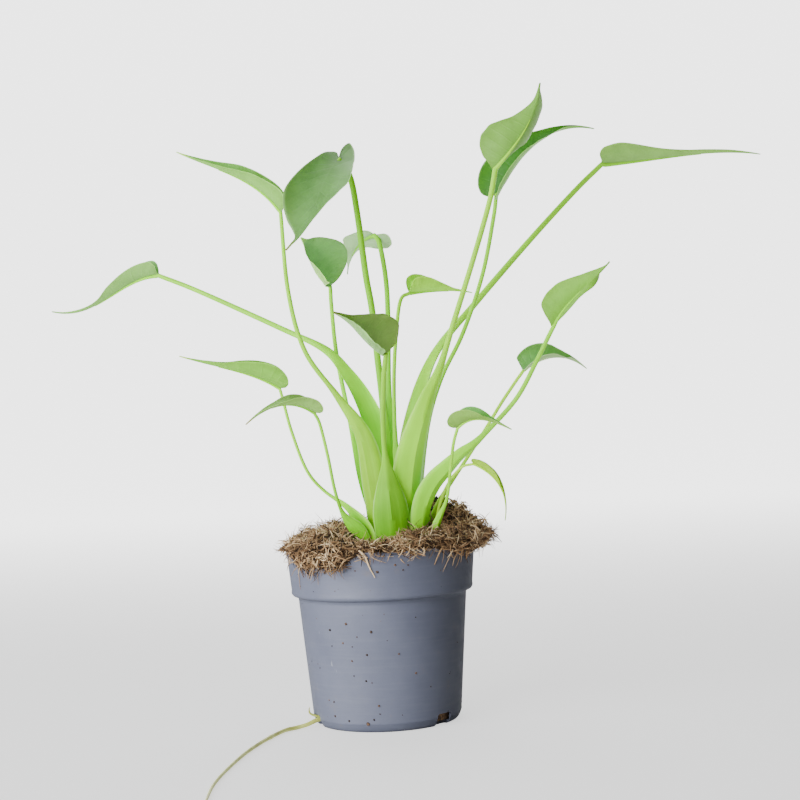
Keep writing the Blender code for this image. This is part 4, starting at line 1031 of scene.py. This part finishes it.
def soil_point(angle, ring):
    """A point of the plug: rings go from the floor up the wall, over the rim and in to the middle."""
    spread = noise.noise(Vector((math.cos(angle) * 2.2, math.sin(angle) * 2.2, 3.0)))
    fine = noise.noise(Vector((math.cos(angle) * 6.5, math.sin(angle) * 6.5, 9.0)))
    right = max(0.0, math.cos(angle - math.radians(12))) ** 6
    left = max(0.0, math.cos(angle - math.radians(235))) ** 3
    over = rim_height + gap
    outer = soil_rim + gap
    turn = math.degrees(angle)
    spill = 1.0 - smooth(246.0, 262.0, turn) + smooth(300.0, 318.0, turn) - smooth(330.0, 342.0, turn) * 0.4
    spill -= 0.90 * smooth(160.0, 178.0, turn) * (1.0 - smooth(196.0, 214.0, turn))
    hang = over - 0.0006 - (0.0055 * left + 0.0010 + 0.0030 * max(0.0, spread)) * spill
    ragged = noise.noise(Vector((math.cos(angle) * 11.0, math.sin(angle) * 11.0, 4.0)))
    edge = outer - 0.0012 + (0.0010 + 0.0010 * (1 + fine) + 0.0016 * ragged) * spill + 0.0085 * right
    hang -= 0.0022 * max(0.0, ragged) * spill
    if spill < 0.2:
        outer = edge
    lift = soil_height(edge * math.cos(angle), edge * math.sin(angle)) - 0.0020
    wall = [(0.0380, soil_floor), (0.0440, 0.0690), (0.0475, 0.0735), (outer - 0.0020, over), (outer, over),
            (outer, hang), (edge - 0.0006, hang - 0.0004 * spill + 0.0045 * right),
            (edge, between(hang + 0.0045 * right, lift, 0.6)), (edge, lift)]
    if ring < wall_rings:
        radius, height = wall[ring]
        return Vector((radius * math.cos(angle), radius * math.sin(angle), height))
    share = (ring - wall_rings + 1) / soil_rings
    radius = edge * (1.0 - share)
    x, y = radius * math.cos(angle), radius * math.sin(angle)
    height = soil_height(x, y) - 0.0022 * (1.0 - smooth(0.0, 0.12, share))
    height += (noise.noise(Vector((x, y, 0.0)) * 140.0) * 0.0042
               + noise.noise(Vector((x, y, 0.5)) * 420.0) * 0.0012)
    return Vector((x, y, max(over + 0.0004, height)))


soil_levels = wall_rings - 1 + soil_rings
points = [Vector((0.0, 0.0, soil_floor))]
for k in range(soil_steps):
    points += [soil_point(2 * math.pi * k / soil_steps, ring) for ring in range(soil_levels)]
points.append(Vector((0.0, 0.0, soil_height(0.0, 0.0))))
faces = []
for k in range(soil_steps):
    a = 1 + k * soil_levels
    b = 1 + ((k + 1) % soil_steps) * soil_levels
    faces.append((0, b, a))
    faces += [(a + i, b + i, b + i + 1, a + i + 1) for i in range(soil_levels - 1)]
    faces.append((len(points) - 1, a + soil_levels - 1, b + soil_levels - 1))
soil = piece_of("soil_plug", points, faces)
rounded(soil, 60.0)
soil.data.materials.append(finish("peat", speckled(
    [(0.34, (0.018, 0.010, 0.006)), (0.50, (0.060, 0.033, 0.016)), (0.68, (0.150, 0.088, 0.042))],
    420.0, 6.0, 0.7, distort=0.6), 0.95, [((900.0, 5.0, 0.7), 0.9, 0.0012)], 0.2))
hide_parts("soil")
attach(soil, "root")

# Loose fibres of coir and sphagnum: thin bent strands that lie matted over the plug in rounded clumps, with
# some ends standing up. They are tan to dark brown, and olive green with moss round the feet of the leaves.
fibre_count = 14500
fibre_batches = 3
fibre_joints = 4
moss_per_spot = 700
moss_spots = [(-0.022, -0.02, 0.008), (0.002, -0.018, 0.01), (0.016, -0.016, 0.01), (0.024, -0.006, 0.007)]


def fibre_finish(name, stops):
    """Loose stuff in which each strand or grain has a tone of its own, with darker patches; a coir fibre's tone
    also holds painted shade.
    """
    def paint(tree):
        base = ramp(tree, value_of(tree, "tone"), stops)
        return mixed(tree, window(tree, grain(tree, 700.0, 3.0), 0.40, 0.72, 0.0, 0.35), base, stops[0][1])

    return finish(name, paint, 0.82, [((2200.0, 2.0), 0.3, 0.0002)], 0.25)


def strands(name, starts, ways, normals, lengths, widths, tones, curls, hug):
    """Three-sided tapering strands, each bent at its joints, as one mesh with a tone for each strand."""
    count = len(starts)
    place = starts.copy()
    way = ways / np.linalg.norm(ways, axis=1, keepdims=True)
    rings = []
    for joint in range(fibre_joints):
        side = np.cross(way, normals)
        side /= np.linalg.norm(side, axis=1, keepdims=True) + 1e-12
        other = np.cross(side, way)
        taper = (0.8, 1.0, 0.8, 0.3)[joint]
        for k in range(3):
            turn = 2 * math.pi * k / 3
            away = side * math.cos(turn) + other * math.sin(turn)
            rings.append(place + away * widths[:, None] * 0.5 * taper)
        way = way + side * curls[:, None] - normals * hug[:, None]
        way /= np.linalg.norm(way, axis=1, keepdims=True)
        place = place + way * (lengths / (fibre_joints - 1))[:, None]
    vertices = np.stack(rings, axis=1).reshape(-1, 3)
    per = fibre_joints * 3
    one = []
    for joint in range(fibre_joints - 1):
        for k in range(3):
            a = joint * 3 + k
            b = joint * 3 + (k + 1) % 3
            one += [(a, b, b + 3), (a, b + 3, a + 3)]
    one += [(2, 1, 0), (per - 3, per - 2, per - 1)]
    all_faces = (np.array(one)[None] + (np.arange(count) * per)[:, None, None]).reshape(-1, 3)
    mesh = bpy.data.meshes.new(name)
    mesh.vertices.add(len(vertices))
    mesh.vertices.foreach_set("co", vertices.ravel())
    mesh.loops.add(all_faces.size)
    mesh.loops.foreach_set("vertex_index", all_faces.ravel())
    mesh.polygons.add(len(all_faces))
    mesh.polygons.foreach_set("loop_start", np.arange(len(all_faces)) * 3)
    mesh.update(calc_edges=True)
    give_values(mesh, "tone", np.repeat(tones, per))
    made = bpy.data.objects.new(name, mesh)
    bpy.context.scene.collection.objects.link(made)
    outward_faces(made)
    only(made)
    bpy.ops.object.shade_smooth()
    return made


def spread_over(mesh, count, chance, dice):
    """Random places on a mesh's faces, with their normals. chance weighs each face by where it is."""
    mesh.calc_loop_triangles()
    corners = np.array([[mesh.vertices[v].co[:] for v in t.vertices] for t in mesh.loop_triangles])
    across = np.cross(corners[:, 1] - corners[:, 0], corners[:, 2] - corners[:, 0])
    size = np.linalg.norm(across, axis=1)
    weight = size * chance(corners.mean(axis=1))
    chosen = dice.choice(len(corners), size=count, p=weight / weight.sum())
    first, second = dice.random(count), dice.random(count)
    swap = first + second > 1.0
    first[swap], second[swap] = 1.0 - first[swap], 1.0 - second[swap]
    c = corners[chosen]
    spots = c[:, 0] + (c[:, 1] - c[:, 0]) * first[:, None] + (c[:, 2] - c[:, 0]) * second[:, None]
    return spots, across[chosen] / size[chosen][:, None]


def on_top(centres):
    """Nothing under the rim, and a little more on the overhanging edge than in the middle."""
    reach = np.hypot(centres[:, 0], centres[:, 1])
    return np.where((centres[:, 2] > 0.0890) & ((reach > 0.0528) | (centres[:, 2] > 0.0972)),
                    0.7 + 0.6 * (reach / 0.055), 0.0)


def clear_of_feet(spots):
    """Which of the places no leaf stands on."""
    keep = np.ones(len(spots), dtype=bool)
    for x, y, width in leaf_feet:
        keep &= np.hypot(spots[:, 0] - x, spots[:, 1] - y) > width * 0.75
    return keep


def across_surface(normals, dice):
    """A random way along the surface for each place."""
    way = dice.normal(size=normals.shape)
    way -= normals * (way * normals).sum(axis=1, keepdims=True)
    return way / np.linalg.norm(way, axis=1, keepdims=True)


coir = fibre_finish("coir_fibre", [
    (0.0, (0.022, 0.012, 0.006)), (0.22, (0.085, 0.045, 0.020)), (0.45, (0.230, 0.130, 0.060)),
    (0.70, (0.430, 0.270, 0.135)), (0.90, (0.620, 0.430, 0.240)), (1.0, (0.780, 0.600, 0.370))])
rng = np.random.default_rng(19)
for batch in range(fibre_batches):
    spots, normals = spread_over(soil.data, fibre_count // fibre_batches, on_top, rng)
    kept = clear_of_feet(spots)
    spots, normals = spots[kept], normals[kept]
    count = len(spots)
    clump = np.array([noise.noise(Vector(spot) * 150.0) for spot in spots])
    rear_right = np.clip((spots[:, 0] - 0.030) / 0.020, 0.0, 1.0)
    lying = across_surface(normals, rng)
    rise = np.where(rng.random(count) < 0.20, rng.uniform(0.4, 1.5, count), rng.uniform(0.0, 0.30, count))
    height = 0.0010 + 0.0052 * np.clip(clump + 0.15, 0.0, 1.0)
    hollow = np.exp(-(spots[:, 0] ** 2 + (spots[:, 1] + 0.026) ** 2) / 0.014 ** 2)
    hollow += 0.85 * np.exp(-((spots[:, 0] + 0.055) ** 2 + (spots[:, 1] - 0.002) ** 2) / 0.015 ** 2)
    height *= 1.0 - 0.75 * hollow
    depth = rng.random(count)
    starts = spots + normals * (depth * height)[:, None]
    ways = lying + normals * rise[:, None]
    lengths = rng.uniform(0.0030, 0.0120, count) * np.where(rise > 0.4, 0.62, 1.0) * (1.0 - 0.4 * hollow)
    widths = 0.00028 + 0.00075 * rng.random(count) ** 2.2
    # Partly painted shade: the deeper in the mat a fibre starts, the darker its tone; the rest of its tone is
    # its own.
    tones = 0.20 + 0.66 * depth ** 1.5 + 0.60 * clump + rng.normal(0.0, 0.19, count) - 0.12 * rear_right
    tones = np.clip(tones, 0.0, 1.0)
    mat = strands(f"coir_fibres_{batch + 1}", starts, ways, normals, lengths, widths, tones,
                  rng.normal(0.0, 0.20, count), rng.uniform(0.0, 0.32, count))
    mat.data.materials.append(coir)
    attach(mat, "root")

mossy = []
for x, y, breadth in moss_spots:
    angle = rng.random(moss_per_spot) * 2 * math.pi
    reach = breadth * np.sqrt(rng.random(moss_per_spot))
    for a, r in zip(angle, reach):
        at_x, at_y = x + r * math.cos(a), y + r * math.sin(a)
        mossy.append((at_x, at_y, soil_height(at_x, at_y)))
mossy = np.array(mossy)
mossy = mossy[clear_of_feet(mossy)]
count = len(mossy)
upright = np.tile((0.0, 0.0, 1.0), (count, 1))
ways = across_surface(upright, rng) + upright * rng.uniform(0.5, 2.2, count)[:, None]
moss = strands("moss", mossy, ways, upright,
               rng.uniform(0.0016, 0.0038, count), rng.uniform(0.00025, 0.00050, count), rng.random(count),
               rng.normal(0.0, 0.3, count), rng.uniform(0.0, 0.4, count))
moss.data.materials.append(fibre_finish("moss_green", [
    (0.0, (0.030, 0.035, 0.010)), (0.45, (0.110, 0.130, 0.030)), (0.80, (0.230, 0.260, 0.060)),
    (1.0, (0.330, 0.350, 0.110))]))
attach(moss, "root")

# Single long strands that have slipped out of the mat: they hang over the rim in front, and one sticks out at
# the right. Each is given by its path as (compass angle, height, distance off the wall), width and tone.
hanging = [
    ([(215, 0.101, 0.003), (214, 0.096, 0.0022), (212, 0.088, 0.0008), (210.7, 0.0768, 0.0006)], 0.0005, 0.62),
    ([(232, 0.1015, 0.0032), (231, 0.095, 0.002), (230, 0.088, 0.0008), (229.6, 0.0805, 0.0006)], 0.00045, 0.7),
    ([(243, 0.101, 0.003), (243, 0.096, 0.0018), (242, 0.089, 0.0007), (241.4, 0.0834, 0.0006)], 0.00045, 0.55),
    ([(259, 0.099, 0.002), (262, 0.0958, 0.0014), (264, 0.09, 0.0007), (267, 0.0841, 0.0005)], 0.0011, 0.95),
    ([(264, 0.0985, 0.0018), (266, 0.0951, 0.0012), (270, 0.093, 0.0008), (274, 0.0917, 0.0006)], 0.0004, 0.8),
    ([(317, 0.099, 0.002), (316, 0.094, 0.0012), (313, 0.089, 0.0007), (310, 0.0843, 0.0006)], 0.00045, 0.75),
    ([(326, 0.0985, 0.002), (325, 0.0925, 0.0012), (323, 0.088, 0.0007), (321, 0.0853, 0.0006)], 0.00045, 0.65),
    ([(321, 0.0985, 0.0024), (321, 0.0945, 0.0018), (319, 0.0905, 0.001), (318, 0.0868, 0.0007)], 0.0007, 0.72),
    ([(325, 0.099, 0.0026), (325, 0.095, 0.002), (326, 0.0915, 0.0012), (326, 0.088, 0.0008)], 0.00065, 0.66),
    ([(329, 0.099, 0.0026), (330, 0.0955, 0.002), (331, 0.0925, 0.0013), (332, 0.09, 0.001)], 0.0006, 0.74),
    ([(314, 0.099, 0.0024), (315, 0.095, 0.0016), (317, 0.092, 0.001), (320, 0.0905, 0.0008)], 0.0006, 0.7),
    ([(222, 0.1, 0.0032), (221, 0.095, 0.0022), (222, 0.0915, 0.0012), (224, 0.089, 0.0008)], 0.0004, 0.5),
    ([(238, 0.1, 0.003), (237, 0.0945, 0.002), (237, 0.0905, 0.0012), (239, 0.088, 0.0008)], 0.0004, 0.6),
    ([(252, 0.099, 0.0025), (251, 0.0955, 0.0014), (250, 0.0925, 0.0008), (248, 0.0905, 0.0006)], 0.00045, 0.85),
    ([(290, 0.0985, 0.0018), (291, 0.095, 0.001), (293, 0.093, 0.0007), (295, 0.0925, 0.0006)], 0.00035, 0.7),
    ([(359, 0.106, 0.003), (359, 0.108, 0.0055), (359, 0.1105, 0.0075), (359, 0.1125, 0.0095)], 0.0005, 0.8),
    ([(205, 0.1, 0.003), (203, 0.0965, 0.003), (201, 0.0945, 0.0026), (200, 0.093, 0.002)], 0.0004, 0.6)]
strand_sides = 8
strand_stations = 14
rim_edge = 0.0965


def swept(name, path, radii, sides):
    """A closed round tube along a path."""
    points = []
    for i, (centre, way) in enumerate(zip(path, tangents(path))):
        side = way.cross(Vector((0.13, 0.21, 1.0))).normalized()
        other = side.cross(way)
        for k in range(sides):
            turn = 2 * math.pi * k / sides
            points.append(centre + (side * math.cos(turn) + other * math.sin(turn)) * radii[i])
    made = piece_of(name, points, tube_faces(len(path), sides))
    rounded(made, 60.0)
    return made


loose = []
for at, (places, width, tone) in enumerate(hanging):
    path = []
    for angle, height, off in places:
        turn = math.radians(angle)
        reach = (soil_rim if height > rim_edge else wall_radius(height)) + off
        path.append((reach * math.cos(turn), reach * math.sin(turn), height))
    path = curve_through(path, strand_stations)
    radii = [width / 2 * (1.0 - 0.7 * (i / (strand_stations - 1)) ** 2) for i in range(strand_stations)]
    strand = swept(f"strand_{at}", path, radii, strand_sides)
    give_values(strand.data, "tone", [tone] * len(strand.data.vertices))
    strand.data.materials.append(coir)
    loose.append(strand)
loose = joined(loose, "loose_strands")
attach(loose, "root")

# Crumbs of black peat and broken bark that lie in the mat, the largest of them on the mound at the right,
# and a few reddish-brown scales left from old leaf sheaths.
crumb_count = 620
scale_radius = 0.0026
big_crumbs = [(0.0275, 0.004, 0.0034), (0.03, 0.0, 0.003), (0.0325, 0.006, 0.0036), (0.0345, 0.001, 0.003),
              (0.0375, 0.005, 0.0034), (0.031, 0.01, 0.003), (0.04, 0.001, 0.0024), (0.042, 0.006, 0.0028),
              (0.0475, 0.01, 0.003), (0.023, 0.012, 0.0026), (0.0265, 0.009, 0.0028), (0.0355, 0.009, 0.003)]
scales = [(0.0330, -0.004, 0.1120, 20), (0.0355, -0.007, 0.1095, 65), (0.0300, -0.008, 0.1085, 110),
          (0.0375, -0.002, 0.1130, 150), (0.0285, -0.003, 0.1100, 35)]


def crumbs(name, spots, widths, tones, generator):
    """Small angular grains as one mesh, each an eight-sided lump pushed out of round."""
    shape = np.array([(1, 0, 0), (-1, 0, 0), (0, 1, 0), (0, -1, 0), (0, 0, 1), (0, 0, -1)], dtype=float)
    sides = np.array([(0, 2, 4), (2, 1, 4), (1, 3, 4), (3, 0, 4), (2, 0, 5), (1, 2, 5), (3, 1, 5), (0, 3, 5)])
    stretch = generator.uniform(0.55, 1.2, (len(spots), 6, 1))
    jitter = generator.normal(0.0, 0.22, (len(spots), 6, 3))
    grains = (shape[None] * stretch + jitter) * (widths / 2)[:, None, None] + spots[:, None]
    made = piece_of(name, grains.reshape(-1, 3).tolist(),
                    (sides[None] + (np.arange(len(spots)) * 6)[:, None, None]).reshape(-1, 3).tolist())
    give_values(made.data, "tone", np.repeat(tones, 6))
    outward_faces(made)
    return made


spots, normals = spread_over(soil.data, crumb_count, on_top, rng)
spots = spots + normals * 0.0022
large = np.array([(x, y, soil_height(x, y) + 0.0046) for x, y, _ in big_crumbs])
large_widths = [width * 1.15 for _, _, width in big_crumbs]
widths = np.concatenate([rng.uniform(0.0006, 0.0020, crumb_count), large_widths])
tones = np.concatenate([rng.uniform(0.0, 0.40, crumb_count), np.full(len(big_crumbs), 0.02)])
peat_crumbs = crumbs("peat_crumbs", np.concatenate([spots, large]), widths, tones, rng)
peat_crumbs.data.materials.append(fibre_finish("black_peat", [
    (0.0, (0.012, 0.009, 0.008)), (0.5, (0.050, 0.030, 0.018)), (1.0, (0.140, 0.080, 0.045))]))
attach(peat_crumbs, "root")

bracts = []
for x, y, z, turn in scales:
    bpy.ops.mesh.primitive_uv_sphere_add(segments=20, ring_count=12, radius=scale_radius)
    bract = bpy.context.active_object
    for vert in bract.data.vertices:
        vert.co.z = vert.co.z * 0.10 + 0.35 * vert.co.x ** 2 / scale_radius
        vert.co.y *= 0.50 * (1.0 - 0.5 * vert.co.x / scale_radius)
    bract.location = (x, y, z)
    bract.rotation_euler = (math.radians(50.0), math.radians(-35.0), math.radians(turn))
    bracts.append(bract)
bracts = joined(bracts, "dry_scales")
bpy.ops.object.shade_smooth()
bracts.data.materials.clear()
bracts.data.materials.append(finish(
    "dry_scale", speckled([(0.35, (0.10, 0.035, 0.018)), (0.65, (0.30, 0.13, 0.07))], 500.0, 4.0),
    0.7, [((1500.0, 2.0), 0.4, 0.0003)]))
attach(bracts, "root")

# Trailing root: one living root that has grown out of a drain slot and along the surface. It is smooth and
# yellow-green, thins towards its end, and has a swollen joint a short way out.
root_points = [(-0.0300, -0.0130, 0.0052), (-0.0380, -0.0155, 0.0042), (-0.0440, -0.0180, 0.0022),
               (-0.0500, -0.0210, 0.0013), (-0.0560, -0.0275, 0.0013), (-0.0645, -0.0510, 0.0013),
               (-0.0722, -0.0820, 0.0012), (-0.0782, -0.1210, 0.0011), (-0.0808, -0.1500, 0.0010),
               (-0.0808, -0.1800, 0.0009)]
root_stations = 150
root_sides = 18
joint_at = 0.26
end_from = 0.97
rootlet_stations = 30
rootlet_sides = 14
path = curve_through(root_points, root_stations)
radii = []
for i, point in enumerate(path):
    run = i / (root_stations - 1)
    radius = between(0.00120, 0.00068, run) * (1.0 + 0.06 * noise.noise(Vector((run * 30.0, 2.0, 0.0))))
    radius *= 1.0 + 0.28 * math.exp(-((run - joint_at) / 0.008) ** 2)
    if run > end_from:
        radius *= math.sqrt(max(0.02, 1.0 - ((run - end_from) / (1.0 - end_from)) ** 2))
    radii.append(min(radius, point.z - 0.00005) if point.z < 0.002 else radius)
long_root = swept("long_root", path, radii, root_sides)
curl = curve_through([(-0.0345, -0.0128, 0.0052), (-0.0392, -0.0143, 0.0060), (-0.0424, -0.0156, 0.0078),
                      (-0.0428, -0.0158, 0.0100), (-0.0424, -0.0156, 0.0112)], rootlet_stations)
radii = []
for i in range(rootlet_stations):
    run = i / (rootlet_stations - 1)
    radii.append(0.0007 * math.sqrt(max(0.05, 1.0 - run ** 3)))
rootlet = swept("rootlet", curl, radii, rootlet_sides)
root = joined([long_root, rootlet], "trailing_root_skin")


def root_paint(tree):
    """Yellow-green, paler towards the growing end, with a few brown flecks."""
    base = ramp(tree, grain(tree, 130.0, 4.0, 0.6), [
        (0.32, (0.305, 0.305, 0.0612)), (0.52, (0.4678, 0.5029, 0.107)), (0.72, (0.6105, 0.6308, 0.2232))])
    end = window(tree, axes(tree, own(tree))["Y"], -0.150, -0.182, 0.0, 0.6)
    base = mixed(tree, end, base, (0.6724, 0.6724, 0.3515))
    flecks = window(tree, grain(tree, 520.0, 4.0), 0.60, 0.72, 0.0, 0.5)
    return mixed(tree, flecks, base, (0.1559, 0.1070, 0.0319))


root.data.materials.clear()
root.data.materials.append(finish("root_skin", root_paint, 0.48, [((900.0, 3.0), 0.3, 0.0003)], 0.45))
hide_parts("trailing_root")
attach(root, "root")
